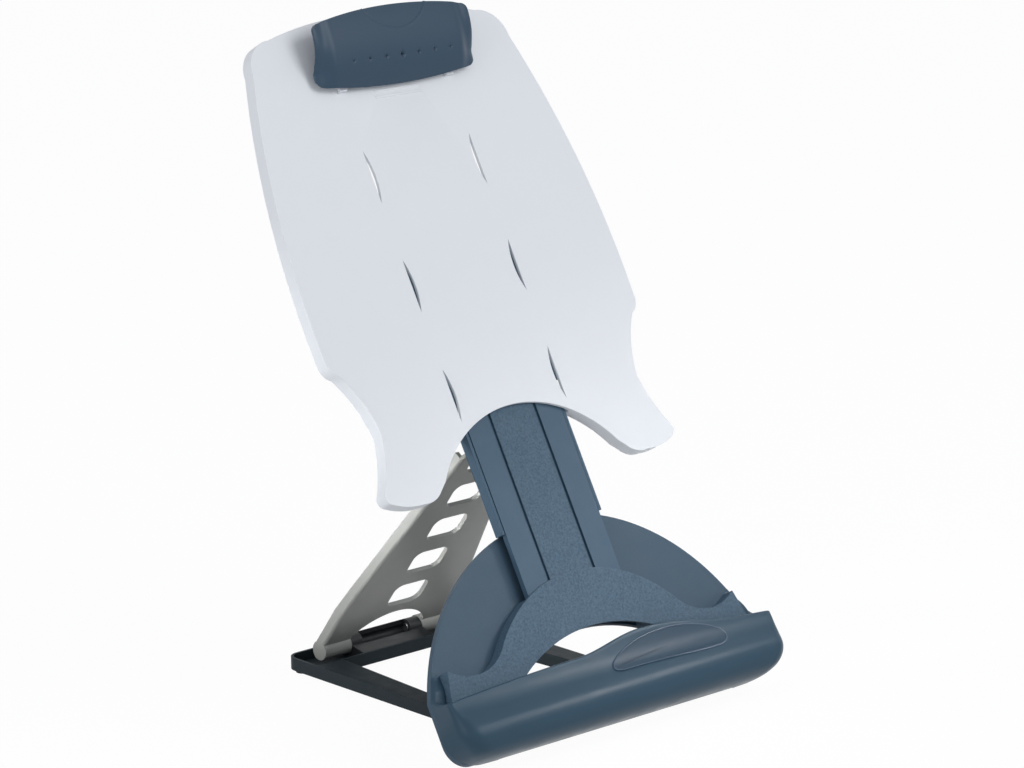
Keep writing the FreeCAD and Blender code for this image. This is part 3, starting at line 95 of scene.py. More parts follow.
def add(tree, kind, inputs=(), links=(), **settings):
    """A node with its settings, its input values and the sockets that feed it."""
    node = tree.nodes.new(kind)
    for key, value in settings.items():
        setattr(node, key, value)
    for key, value in dict(inputs).items():
        node.inputs[key].default_value = value
    for key, socket in dict(links).items():
        tree.links.new(socket, node.inputs[key])
    return node


def blank_material(name):
    """A material with an empty node tree."""
    material = bpy.data.materials.new(name)
    material.use_nodes = True
    material.node_tree.nodes.clear()
    return material


def noise(tree, place, size, detail, roughness, distortion=0.0):
    """Noise whose patches have a size in millimetres."""
    return add(tree, "ShaderNodeTexNoise",
               {"Scale": 1 / (size * MM), "Detail": detail, "Roughness": roughness,
                "Distortion": distortion}, {"Vector": place}).outputs["Fac"]


def moulded(name, colour, roughness, grain_mm, grain_depth_mm, mottle=0.05, speckle=0.0,
            metallic=0.0, gloss=0.3):
    """A moulded or coated surface: spark-eroded grain, faint flow mottling and rub marks."""
    material = blank_material(name)
    tree = material.node_tree
    place = add(tree, "ShaderNodeTexCoord").outputs["Object"]
    grain = noise(tree, place, 2 * grain_mm, 2.5, 0.6)
    flow = noise(tree, place, FLOW_SIZE, 3.0, 0.55, 0.6)
    rub = noise(tree, place, RUB_SIZE, 2.0, 0.5)
    tone = add(tree, "ShaderNodeMath", {1: mottle, 2: 1 - mottle / 2}, {0: flow},
               operation="MULTIPLY_ADD")
    fleck = add(tree, "ShaderNodeMath", {1: speckle, 2: -speckle / 2}, {0: grain},
                operation="MULTIPLY_ADD")
    total = add(tree, "ShaderNodeMath", (), {0: tone.outputs[0], 1: fleck.outputs[0]},
                operation="ADD")
    base = add(tree, "ShaderNodeRGB")
    base.outputs[0].default_value = linear(colour)
    shade = add(tree, "ShaderNodeVectorMath", (),
                {0: base.outputs[0], "Scale": total.outputs[0]}, operation="SCALE")
    dull = add(tree, "ShaderNodeMapRange",
               {"From Min": RUB_SPAN[0], "From Max": RUB_SPAN[1],
                "To Min": roughness - POLISHED, "To Max": roughness + DULLED}, {"Value": rub})
    bump = add(tree, "ShaderNodeBump", {"Strength": 1.0, "Distance": grain_depth_mm * MM},
               {"Height": grain})
    shader = add(tree, "ShaderNodeBsdfPrincipled",
                 {"Metallic": metallic, "IOR": PLASTIC_IOR, "Specular IOR Level": gloss},
                 {"Base Color": shade.outputs[0], "Roughness": dull.outputs[0],
                  "Normal": bump.outputs[0]})
    add(tree, "ShaderNodeOutputMaterial", (), {"Surface": shader.outputs[0]})
    return material


# ABS moulded in a spark-eroded tool: an even satin skin, finely grained, a little smoother on
# the ledge and the clip, which hands polish.
blue_satin = moulded("moulded_abs_blue_grey_satin", "40576a", 0.5, 0.35, 0.02, speckle=0.15,
                     gloss=0.2)
blue_disc = moulded("moulded_abs_blue_grey_disc", "3a4e5f", 0.5, 0.35, 0.02, speckle=0.2,
                    gloss=0.2)
blue_ledge = moulded("moulded_abs_blue_grey_ledge", "304656", 0.32, 0.9, 0.004, gloss=0.12)
blue_clip = moulded("moulded_abs_blue_grey_clip", "35495b", 0.34, 0.35, 0.008, gloss=0.2)
# The same ABS with a coarse grain on the band and on the strip of the mast. The real grain of
# 0.2 mm is drawn 0.6 mm wide, because it would not show otherwise.
blue_grain = moulded("moulded_abs_blue_grey_coarse_grain", "43596b", 0.6, 0.6, 0.12,
                     speckle=1.3, gloss=0.25)
blue_plaque = moulded("moulded_abs_pale_blue_plaque", "2b3f50", 0.34, 0.9, 0.004, gloss=0.12)
# The bead is the plaque's ABS, polished smoother and glossier; its lighter colour is a painted
# highlight along the bead.
blue_bead_painted_highlight = moulded("moulded_abs_bead_polished_and_painted_highlight", "43566a", 0.2, 0.9, 0.003, gloss=0.5)
# High-impact polystyrene: an opaque cool white with a soft sheen.
white_board = moulded("moulded_polystyrene_white", "dfe2e7", 0.5, 0.5, 0.012, mottle=0.015)
# Glass-filled nylon of the base and the track, nearly black, with a dull grained skin.
dark_base = moulded("moulded_nylon_charcoal", "293136", 0.5, 0.45, 0.05, speckle=0.1,
                    gloss=0.08)
black_block = moulded("moulded_nylon_black", "1f2326", 0.45, 0.45, 0.03)
# Stoved enamel on the leg: a silver grey with a fine orange peel.
leg_enamel = moulded("stoved_enamel_silver_grey", "9b9c98", 0.38, 1.2, 0.02, mottle=0.03)
soft_rubber = moulded("moulded_rubber_black", "26282a", 0.75, 0.6, 0.06)
white_acetal = moulded("turned_acetal_white", "dcdcd6", 0.35, 0.4, 0.008, mottle=0.02)
# Zinc-plated steel of pins, screws and spring: bright and finely grained.
zinc_steel = moulded("zinc_plated_steel", "b9bcbf", 0.28, 0.4, 0.01, metallic=1.0)


# Meshes ---------------------------------------------------------------------------------------

WELD = 1e-6                   # m, vertices of a shell closer than this are one
FLAT = math.radians(0.4)      # facets of a solid that turn less than this are one face
EDGE_TURN = math.radians(32)      # edges that turn more than this are rounded
EDGE_FACETS = 3


def place_mesh(name, mesh, material, body, replaced=(), angle=40):
    """A finished mesh that rides on a body and stands for some solids.

    Edges that turn more than the angle, in degrees, look sharp.
    """
    mesh.materials.clear()
    mesh.materials.append(material)
    mesh.shade_smooth()
    mesh.set_sharp_from_angle(angle=math.radians(angle))
    made = bpy.data.objects.new(name, mesh)
    bpy.context.scene.collection.objects.link(made)
    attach(made, body)
    if replaced:
        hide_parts(*replaced)
    return made


def new_mesh(name, vertices, faces):
    """A mesh of vertices and faces."""
    mesh = bpy.data.meshes.new(name)
    mesh.from_pydata(vertices, [], faces)
    return mesh


def outward(mesh):
    """Closed shells turned so that their faces point outwards."""
    shell = bmesh.new()
    shell.from_mesh(mesh)
    bmesh.ops.remove_doubles(shell, verts=shell.verts, dist=WELD)
    bmesh.ops.recalc_face_normals(shell, faces=shell.faces)
    shell.to_mesh(mesh)
    shell.free()
    return mesh


def softened(node, name, material, body, width):
    """The solid's own shape with rounded edges."""
    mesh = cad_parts[node].data.copy()
    shell = bmesh.new()
    shell.from_mesh(mesh)
    bmesh.ops.remove_doubles(shell, verts=shell.verts, dist=2 * WELD)
    bmesh.ops.dissolve_limit(shell, angle_limit=FLAT, verts=shell.verts, edges=shell.edges)
    shell.to_mesh(mesh)
    shell.free()
    made = place_mesh(name, mesh, material, body, [node])
    bevel = made.modifiers.new("moulded_edges", "BEVEL")
    bevel.width = width * MM
    bevel.segments = EDGE_FACETS
    bevel.limit_method = "ANGLE"
    bevel.angle_limit = EDGE_TURN
    bevel.harden_normals = True
    bevel.use_clamp_overlap = True


def grid(columns, rows):
    """Faces of a grid of vertices stored column by column."""
    return [
        (c * rows + r + 1, (c + 1) * rows + r + 1, (c + 1) * rows + r, c * rows + r)
        for c in range(columns - 1) for r in range(rows - 1)
    ]


def ring_faces(rings, count, first=0):
    """Faces between closed rings of vertices stored ring by ring."""
    faces = []
    for ring in range(rings - 1):
        low, high = first + ring * count, first + (ring + 1) * count
        for step in range(count):
            after = (step + 1) % count
            faces.append((low + step, low + after, high + after, high + step))
    return faces


# Ledge ----------------------------------------------------------------------------------------

LEDGE_LOW = 7.8               # lower edge
LEDGE_STRAIGHT = 30.0         # lines around the ledge are level up to here
LEDGE_FRONT = [(7.8, 1.0), (8.2, 7.0), (10.4, 13.2), (13.8, 17.2), (18.8, 19.0), (23.5, 18.8),
               (28.0, 17.2), (33.0, 15.0), (38.0, 13.5), (44.0, 12.8), (52.0, 12.3)]
LEDGE_REACH = [(7.8, 84.0), (8.0, 94.0), (8.8, 100.0), (10.0, 103.6), (12.0, 107.2),
               (15.0, 110.2), (18.0, 112.2), (22.0, 113.7), (28.0, 114.4), (34.0, 114.6),
               (60.0, 115.2)]
BOW, BOW_HALF = 3.0, 114      # the front is this much further back at this distance
SIDE_STEPS, CORNER_STEPS, FRONT_STEPS = 7, 12, 170
CORNER, CORNER_LOSS = 9.0, 6.2    # radius of the corner low down, and how much it loses
CORNER_SPAN = (23, 39)        # between these heights
CORNER_MOST = 0.8             # share of the end's depth that the corner can take
TAPER, TAPER_SPAN = 2.6, (22, 36)     # the ends lean in towards the front
LEVELS, EVENLY = 34, 0.35     # level lines up to LEDGE_STRAIGHT, closer together low down
WALL_LEVELS = 14              # lines from there to the rim
HALF_STEPS = 50               # level lines above it, one each half millimetre, to read between
NEAR_RIM = 20                 # the one of them that the rim follows

LIP_TOP, LIP_DROP, LIP_HALF = 44.5, 3.9, 115      # edge of the lip, lower at its ends
HUMP, HUMP_RISE, HUMP_FALL = 6.0, (-26, 22), (30, 92)
LIP_ROUND = 0.8               # height of the rounded rim
TRAY = 33.0                   # floor of the tray
TRAY_DEPTH = 9.6              # its wall behind the lip
TRAY_LEAN = 0.5               # foot of that wall behind its top
TRAY_END = 112.2              # outer face of the end walls at the rim
END_WALL = 2.4
END_SLOPE, END_SLOPE_START = 0.22, 3.5    # the end walls rise towards the disc

DISC_RADIUS, DISC_HEIGHT, DISC_SIDE = 120.0, 1.5, 112.0
EAR_THICK = 3.3
EAR_FACE = DISC_FRONT + EAR_THICK
EAR_HOLLOW = 2.2              # radius between the ear's face and the end wall's top
EAR_LOW, EAR_TALL = 35.0, 24.5
EAR_KINK, EAR_INNER = 57.0, 101.6         # corner of the band's end
EAR_SLANT, EAR_OVER = 0.25, 1.2           # slant of its edge below and above the corner
EAR_FADE = (47, 59.5)         # the ear gets thin between these heights
EAR_EDGE = 1.4                # radius of its outer edge
RIM_COVER = 0.05              # the ear stands this far over the disc's rim
EAR_STEPS, EAR_ACROSS = 40, 9
SUNK = 0.2                    # hidden edges end this far inside what covers them
PROUD = 0.02                  # a face that covers another lies this far in front of it


def lip_top(u):
    """Upper edge of the lip, which rises over the plaque."""
    hump = smooth(*HUMP_RISE, u) * (1 - smooth(*HUMP_FALL, u))
    return LIP_TOP - LIP_DROP * (u / LIP_HALF) ** 2 + HUMP * hump


def bow(u):
    """How far the ledge's front stands forward at a distance from its middle."""
    return -BOW * (u / BOW_HALF) ** 2


def ledge_front(u, v):
    """Depth of the ledge's front face between its rounded ends."""
    return curve_through(LEDGE_FRONT, v) + bow(u)


def ledge_level(level):
    """A line around the ledge at one height, from its back at one end to the other end."""
    reach = curve_through(LEDGE_REACH, level)
    deep = curve_through(LEDGE_FRONT, level)
    corner = min(CORNER - CORNER_LOSS * smooth(*CORNER_SPAN, level),
                 CORNER_MOST * (deep + bow(reach) - DISC_FRONT))
    front = deep + bow(reach - corner)
    half = []
    for step in range(SIDE_STEPS):
        half.append((reach, DISC_FRONT + (front - corner - DISC_FRONT) * step / SIDE_STEPS))
    for step in range(CORNER_STEPS):
        turn = math.pi / 2 * step / CORNER_STEPS
        half.append((reach - corner + corner * math.cos(turn),
                     front - corner + corner * math.sin(turn)))
    taper = TAPER * smooth(*TAPER_SPAN, level) / (front - DISC_FRONT)
    half = [(u - (front - w) * taper, w) for u, w in half]
    inner = half[-1][0] - corner / 10
    across = [(-inner + 2 * inner * step / FRONT_STEPS) for step in range(FRONT_STEPS + 1)]
    return ([(-u, w) for u, w in half] + [(u, deep + bow(u)) for u in across]
            + list(reversed(half)))


def ledge_top(u, w):
    """Height of the lip, and of the end walls that rise a little towards the disc."""
    hollow = min(max(1.0 - (w - EAR_FACE) / EAR_HOLLOW, 0.0), 1.0)
    return (lip_top(u) + END_SLOPE * max(TRAY_DEPTH - END_SLOPE_START - w, 0.0)
            + EAR_HOLLOW * (1 - math.sqrt(1 - hollow ** 2)))


def tray_wall(u, w):
    """The point of the tray's inner face that lies behind a point of the outer face."""
    inner = min(abs(u), TRAY_END - END_WALL)
    return math.copysign(inner, u), min(w, TRAY_DEPTH + bow(inner))


def wall_rows():
    """Lines from the last level line up to the rim, which rises and falls with the lip."""
    table = [ledge_level(LEDGE_STRAIGHT + step / 2) for step in range(HALF_STEPS)]
    rows = []
    for step in range(1, WALL_LEVELS + 1):
        row = []
        for index, (u, w) in enumerate(table[NEAR_RIM]):
            rim = ledge_top(u, w) - LIP_ROUND
            up = (rim - LEDGE_STRAIGHT) * step / WALL_LEVELS
            below = min(int(up * 2), HALF_STEPS - 2)
            share = up * 2 - below
            (u0, w0), (u1, w1) = table[below][index], table[below + 1][index]
            row.append((u0 + (u1 - u0) * share, LEDGE_STRAIGHT + up, w0 + (w1 - w0) * share))
        rows.append(row)
    return rows


def make_ledge():
    """Shell of the ledge as a stack of lines, closed over the lip and the tray."""
    rows = []
    for step in range(LEVELS):
        share = step / (LEVELS - 1)
        level = LEDGE_LOW + (LEDGE_STRAIGHT - LEDGE_LOW) * (
            EVENLY * share + (1 - EVENLY) * share ** 2)
        rows.append([(u, level, w) for u, w in ledge_level(level)])
    rows += wall_rows()
    rim = [(u, w) for u, v, w in rows[-1]]
    inside = [(tray_wall(u, w), ledge_top(u, w) - LIP_ROUND) for u, w in rim]
    for degrees in range(30, 181, 30):
        turn = math.radians(degrees)
        share = (1 - math.cos(turn)) / 2
        rows.append([
            (u + (inner_u - u) * share, top + LIP_ROUND * math.sin(turn),
             w + (inner_w - w) * share)
            for (u, w), ((inner_u, inner_w), top) in zip(rim, inside)])
    for share in (0.5, 0.85):
        rows.append([(u, TRAY + (top - TRAY) * (1 - share), w) for (u, w), top in inside])
    rows.append([(u, TRAY, w - TRAY_LEAN) for (u, w), top in inside])
    rows.append([(u, TRAY, DISC_FRONT) for (u, w), top in inside])
    rows.append([(u, LEDGE_LOW + SUNK, DISC_FRONT) for u, v, w in rows[0]])
    columns, count = len(rim), len(rows)
    vertices = [on_mast(*point) for row in rows for point in row]
    faces = []
    for r in range(count):
        here, after = r * columns, (r + 1) % count * columns
        for c in range(columns - 1):
            faces.append((here + c, here + c + 1, after + c + 1, after + c))
    faces.append(tuple(r * columns for r in range(count)))
    faces.append(tuple(r * columns + columns - 1 for r in reversed(range(count))))
    for side in (-1, 1):
        add_ear(side, vertices, faces)
    place_mesh("ledge_shell", outward(new_mesh("ledge_shell", vertices, faces)), blue_ledge,
               "mast", ["ledge"], 38)


def add_ear(side, vertices, faces):
    """Ear on the rim of the disc beside the end of the band; it fades out above the band."""
    first = len(vertices)
    for step in range(EAR_STEPS + 1):
        v = EAR_LOW + EAR_TALL * step / EAR_STEPS
        inner = (EAR_INNER + EAR_SLANT * max(EAR_KINK - v, 0.0)
                 + EAR_OVER * max(v - EAR_KINK, 0.0))
        outer = min(math.sqrt(DISC_RADIUS ** 2 - (v - DISC_HEIGHT) ** 2), DISC_SIDE) + RIM_COVER
        thick = EAR_THICK * (1 - smooth(*EAR_FADE, v))
        vertices.append(on_mast(side * inner, v, DISC_FRONT - SUNK))
        for place in range(EAR_ACROSS):
            u = inner + (outer - inner) * place / (EAR_ACROSS - 1)
            out = max(EAR_EDGE - (outer - u), 0.0)
            fall = EAR_EDGE - math.sqrt(max(EAR_EDGE ** 2 - out ** 2, 0.0))
            vertices.append(on_mast(side * u, v, DISC_FRONT + max(thick - fall, 0.0) + PROUD))
        vertices.append(on_mast(side * outer, v, DISC_FRONT - SUNK))
    line = EAR_ACROSS + 2
    for step in range(EAR_STEPS):
        low, high = first + step * line, first + (step + 1) * line
        for place in range(line):
            after = (place + 1) % line
            faces.append((low + place, high + place, high + after, low + after))
    faces.append(tuple(range(first, first + line)))
    last = first + EAR_STEPS * line
    faces.append(tuple(reversed(range(last, last + line))))


make_ledge()


# Plaque ---------------------------------------------------------------------------------------

PLAQUE_EDGE = [(-8.6, 33.6), (-6.8, 36.6), (-2, 39.6), (6, 42.9), (16, 45.5), (28, 47.0),
               (40, 47.1), (52, 45.9), (62, 43.6), (70, 40.6), (74.2, 37.6), (75.4, 34.6),
               (73.6, 31.6), (68, 29.6), (56, 29.4), (40, 30.0), (24, 30.6), (8, 30.9),
               (-2, 30.9), (-7, 31.6)]
PLAQUE_STEPS = 8              # steps between two points of the edge
PLAQUE_CENTRE = Vector((32, 37.5))
PLAQUE_PROUD = 0.32           # field of the plaque in front of the lip
# Bead along the edge: distance inwards, height above the field.
BEAD = [(0.0, -0.9), (0.0, 0.05), (0.08, 0.4), (0.28, 0.75), (0.52, 0.78), (0.72, 0.45),
        (0.85, 0.02), (1.5, 0.0), (3.2, 0.0)]
BEAD_HIGHLIGHT_BANDS = 6                # bands of faces of BEAD that are polished and carry a lighter colour as a painted highlight
BEAD_FADE, BEAD_FADE_SPAN = 0.65, (8, 64)     # the bead loses this share of its height
FIELD_RINGS, FIELD_FIRST, FIELD_STEP = 12, 0.92, 0.08


def closed_spline(points, steps):
    """A smooth closed line through the points."""
    line = []
    count = len(points)
    for index in range(count):
        p0, p1, p2, p3 = (Vector(points[(index + k - 1) % count]) for k in range(4))
        for step in range(steps):
            t = step / steps
            line.append(0.5 * (2 * p1 + (p2 - p0) * t + (2 * p0 - 5 * p1 + 4 * p2 - p3) * t * t
                               + (3 * p1 - p0 - 3 * p2 + p3) * t ** 3))
    return line


def inset(line, distance):
    """The points of a closed line moved inwards."""
    moved = []
    for index, point in enumerate(line):
        along = line[(index + 1) % len(line)] - line[index - 1]
        moved.append(point + Vector((along.y, -along.x)).normalized() * distance)
    return moved


def make_plaque():
    """Bare plaque: a raised bead around a field that lies a little lower."""
    edge = closed_spline(PLAQUE_EDGE, PLAQUE_STEPS)
    rings = []
    for inward, height in BEAD:
        rings.append([
            (spot, PLAQUE_PROUD + height * (1 - BEAD_FADE * smooth(*BEAD_FADE_SPAN, spot.x)))
            for spot in inset(edge, inward)])
    for step in range(FIELD_RINGS):
        share = FIELD_FIRST - FIELD_STEP * step
        rings.append([(PLAQUE_CENTRE + (spot - PLAQUE_CENTRE) * share, PLAQUE_PROUD)
                      for spot in inset(edge, BEAD[-1][0])])
    vertices = [on_mast(spot.x, spot.y, ledge_front(spot.x, spot.y) + proud)
                for ring in rings for spot, proud in ring]
    count = len(edge)
    faces = ring_faces(len(rings), count)
    faces.append(tuple(range((len(rings) - 1) * count, len(rings) * count)))
    faces.append(tuple(reversed(range(count))))
    made = place_mesh("plaque_blank", outward(new_mesh("plaque_blank", vertices, faces)),
                      blue_plaque, "mast", ["lip_plaque"], 50)
    # The outer bands of the bead take the lighter, glossier material: a painted highlight on real
    # polish.
    made.data.materials.append(blue_bead_painted_highlight)
    for face in made.data.polygons[:count * BEAD_HIGHLIGHT_BANDS]:
        face.material_index = 1


make_plaque()


# Clip -----------------------------------------------------------------------------------------

CLIP_HALF = 53.2
CLIP_LOW, CLIP_LOW_RISE = 364.0, 3.2      # lower edge in the middle, and higher at the ends
CLIP_TOP, CLIP_TOP_DROP = 402.6, 5.4
CLIP_CORNER = 2.6
CLIP_SHEET = 2.0
CLIP_RIM, CLIP_RIM_TURN = 0.45, math.radians(55)      # round of the edges that turn more
CLIP_BEND = 10.7              # width of the bent zone at each end
CLIP_HOLLOW, HOLLOW_END = 0.55, 1.05      # dip across that zone, and where it ends
CLIP_ROUND = 0.4              # share of the bend that is a plain arc
CLIP_SIDE = [(363.5, 3.6), (368.0, 8.0), (374.0, 11.3), (381.0, 13.7), (389.0, 15.3),
             (397.0, 16.0), (404.0, 15.9)]
CLIP_TURN = [(363.5, 1.0), (368.5, 3.6), (374.0, 5.4), (377.0, 4.4), (383.0, 2.4),
             (389.0, 1.2), (397.0, 0.5), (404.0, 0.4)]
THUMB_U, THUMB_V, THUMB_RADIUS = 4.0, 415.0, 26.0     # round field for the thumb
THUMB_DEPTH, THUMB_EDGE = 0.3, 0.8
DIMPLES = [(2.0 + 11.2 * n, 376.5 - 0.02 * n, 1.95 if n == 0 else 1.62 - 0.14 * abs(n))
           for n in range(-3, 4)]      # u, v, radius
DIMPLE_DEEP = 1.9             # depth of a dimple for each millimetre of its radius
DIMPLE_SPAN = (1.05, 0.6)     # its slope, from outside inwards, in radii
CLIP_COLUMNS, CLIP_ROWS = 330, 120
CLIP_CROWD = 0.35             # columns stand closer together at the ends


def clip_edges(u):
    """Height of the clip's lower and upper edge."""
    share = (u / CLIP_HALF) ** 2
    return CLIP_LOW + CLIP_LOW_RISE * share, CLIP_TOP - CLIP_TOP_DROP * share


def clip_depth(u, v):
    """Outer face of the clip: bulged in side view, hollowed and turned back at its ends."""
    depth = curve_through(CLIP_SIDE, v)
    out = min(max(abs(u) - (CLIP_HALF - CLIP_BEND), 0.0) / CLIP_BEND, 1.0)
    turned = ((1 - CLIP_ROUND) * smooth(0.0, 1.0, out)
              + CLIP_ROUND * (1 - math.sqrt(1 - out * out)))
    depth -= curve_through(CLIP_TURN, v) * turned
    depth -= CLIP_HOLLOW * math.sin(math.pi * min(out * HOLLOW_END, 1.0)) ** 2
    inside = THUMB_RADIUS - math.hypot(u - THUMB_U, v - THUMB_V)
    depth -= THUMB_DEPTH * smooth(0.0, THUMB_EDGE, inside)
    for x, y, radius in DIMPLES:
        away = math.hypot(u - x, v - y) / radius
        depth -= DIMPLE_DEEP * radius * smooth(*DIMPLE_SPAN, away)
    return depth


def clip_point(x, y):
    """The point of the clip at x from -1 to 1 and y from 0 to 1, with rounded corners."""
    u = x * CLIP_HALF
    low, high = clip_edges(u)
    v = low + (high - low) * y
    straight = CLIP_HALF - CLIP_CORNER
    out = max(abs(u) - straight, 0.0) / CLIP_CORNER
    for end, sign in ((high, 1), (low, -1)):
        past = max(CLIP_CORNER - sign * (end - v), 0.0) / CLIP_CORNER
        if out and past:
            u = math.copysign(straight + CLIP_CORNER * out * math.sqrt(1 - past * past / 2), u)
            v = end - sign * CLIP_CORNER * (1 - past * math.sqrt(1 - out * out / 2))
            out = 0.0
    return on_mast(u, v, clip_depth(u, v))


def make_clip():
    """The clip as a bent sheet with dimples."""
    vertices = []
    for c in range(CLIP_COLUMNS):
        x = c / (CLIP_COLUMNS - 1) * 2 - 1
        x = math.sin(x * math.pi / 2) * CLIP_CROWD + x * (1 - CLIP_CROWD)
        vertices += [clip_point(x, r / (CLIP_ROWS - 1)) for r in range(CLIP_ROWS)]
    made = place_mesh("clip_shell",
                      new_mesh("clip_shell", vertices, grid(CLIP_COLUMNS, CLIP_ROWS)),
                      blue_clip, "clip", ["clip_plate"], 60)
    wall = made.modifiers.new("wall", "SOLIDIFY")
    wall.thickness = CLIP_SHEET * MM
    wall.offset = -1
    wall.use_even_offset = False
    rim = made.modifiers.new("rim", "BEVEL")
    rim.width = CLIP_RIM * MM
    rim.segments = 2
    rim.limit_method = "ANGLE"
    rim.angle_limit = CLIP_RIM_TURN


make_clip()


# Screws ---------------------------------------------------------------------------------------

# Each solid, the places of its screws on the right half, and the depths of their seat and tip.
SCREWS = {
    ("mast", "mast_screws_pan_head"): [
        ("mast_screws", [(19.5, 75.0), (19.5, 100.0)], -9.8, -1.0),
        ("track_screws", [(19.5, 143.0), (19.5, 249.0)], -7.3, -1.0),
        ("band_screws", [(86.0, 46.2)], -9.8, -1.0),
        ("ledge_screws", [(95.0, 27.0), (35.0, 27.0)], -9.8, 4.0),
    ],
    ("board", "board_screws_pan_head"): [
        ("rail_screws", [(44.0, 202.0), (44.0, 237.0), (44.0, 275.0)], -2.2, 1.8),
        ("bracket_screws", [(7.0, 383.0)], 0.4, 3.6),
    ],
}
SCREW_SEED = 7
SCREW_SHARP = 35              # degrees, edges that turn more look sharp
# Head: radius and height, from its top down to its seat.
HEAD = [(0.9, 1.78), (1.7, 1.66), (2.3, 1.4), (2.65, 1.0), (2.8, 0.5), (2.8, 0.1), (2.7, 0.0),
        (1.5, 0.0)]
HEAD_SIDES = 48
CROSS_DEPTH = 0.85            # cross recess in the part of the head above CROSS_ABOVE
CROSS_ABOVE, CROSS_BOTTOM = 1.5, 1.0
CROSS_WIDE, CROSS_LONG = (0.22, 0.42), (1.4, 1.75)    # slopes of its walls and of its ends
THREAD_RINGS, THREAD_SIDES = 13, 16
THREAD_CREST, THREAD_ROOT = 1.5, 1.28     # radii


def pattern(name, vertices, faces):
    """An object outside the scene, for the screws to copy."""
    mesh = outward(new_mesh(name, [[c * MM for c in v] for v in vertices], faces))
    mesh.shade_smooth()
    mesh.set_sharp_from_angle(angle=math.radians(SCREW_SHARP))
    return bpy.data.objects.new(name, mesh)


def screw_head():
    """Pan head with a cross recess; it sits on z = 0 and rises to -z."""
    vertices = [(0, 0, -CROSS_BOTTOM)]
    for radius, height in HEAD:
        for step in range(HEAD_SIDES):
            turn = 2 * math.pi * step / HEAD_SIDES
            x, y = math.cos(turn), math.sin(turn)
            across, along = sorted((abs(x) * radius, abs(y) * radius))
            deep = (1 - smooth(*CROSS_WIDE, across)) * (1 - smooth(*CROSS_LONG, along))
            cut = CROSS_DEPTH * deep if height > CROSS_ABOVE else 0.0
            vertices.append((radius * x, radius * y, cut - height))
    faces = [(0, 1 + (step + 1) % HEAD_SIDES, 1 + step) for step in range(HEAD_SIDES)]
    faces += ring_faces(len(HEAD), HEAD_SIDES, 1)
    last = 1 + (len(HEAD) - 1) * HEAD_SIDES
    faces.append(tuple(range(last, last + HEAD_SIDES)))
    return pattern("screw_head_pattern", vertices, faces)


def screw_thread():
    """A thread of 1 mm length along z, which is stretched to the length of the screw."""
    vertices = []
    for ring in range(THREAD_RINGS):
        radius = THREAD_ROOT if ring % 2 else THREAD_CREST
        for step in range(THREAD_SIDES):
            turn = 2 * math.pi * step / THREAD_SIDES
            vertices.append((radius * math.cos(turn), radius * math.sin(turn),
                             ring / (THREAD_RINGS - 1)))
    faces = ring_faces(THREAD_RINGS, THREAD_SIDES)
    faces.append(tuple(reversed(range(THREAD_SIDES))))
    faces.append(tuple(range((THREAD_RINGS - 1) * THREAD_SIDES, THREAD_RINGS * THREAD_SIDES)))
    return pattern("screw_thread_pattern", vertices, faces)


def screw_tree():
    """A head and a stretched thread on every point, each turned at random about its axis."""
    tree = bpy.data.node_groups.new("screws_on_points", "GeometryNodeTree")
    for socket, kind in (("Geometry", "NodeSocketGeometry"), ("Head", "NodeSocketObject"),
                         ("Thread", "NodeSocketObject"), ("Material", "NodeSocketMaterial"),
                         ("Seed", "NodeSocketInt")):
        tree.interface.new_socket(name=socket, in_out="INPUT", socket_type=kind)
    tree.interface.new_socket(name="Geometry", in_out="OUTPUT", socket_type="NodeSocketGeometry")
    given = add(tree, "NodeGroupInput").outputs
    turn = add(tree, "FunctionNodeRandomValue", {3: 2 * math.pi}, {"Seed": given["Seed"]},
               data_type="FLOAT")
    spin = add(tree, "ShaderNodeCombineXYZ", (), {"Z": turn.outputs[1]})
    length = add(tree, "GeometryNodeInputNamedAttribute", {"Name": "length"}, data_type="FLOAT")
    scale = add(tree, "ShaderNodeCombineXYZ", {"X": 1.0, "Y": 1.0}, {"Z": length.outputs[0]})
    both = add(tree, "GeometryNodeJoinGeometry")
    for part, stretch in (("Head", {}), ("Thread", {"Scale": scale.outputs[0]})):
        shape = add(tree, "GeometryNodeObjectInfo", (), {"Object": given[part]})
        put = add(tree, "GeometryNodeInstanceOnPoints", (),
                  {"Points": given["Geometry"], "Instance": shape.outputs["Geometry"],
                   "Rotation": spin.outputs[0], **stretch})
        tree.links.new(put.outputs[0], both.inputs[0])
    real = add(tree, "GeometryNodeRealizeInstances", (), {0: both.outputs[0]})
    coated = add(tree, "GeometryNodeSetMaterial", (),
                 {"Geometry": real.outputs[0], "Material": given["Material"]})
    add(tree, "NodeGroupOutput", (), {0: coated.outputs[0]})
    return tree


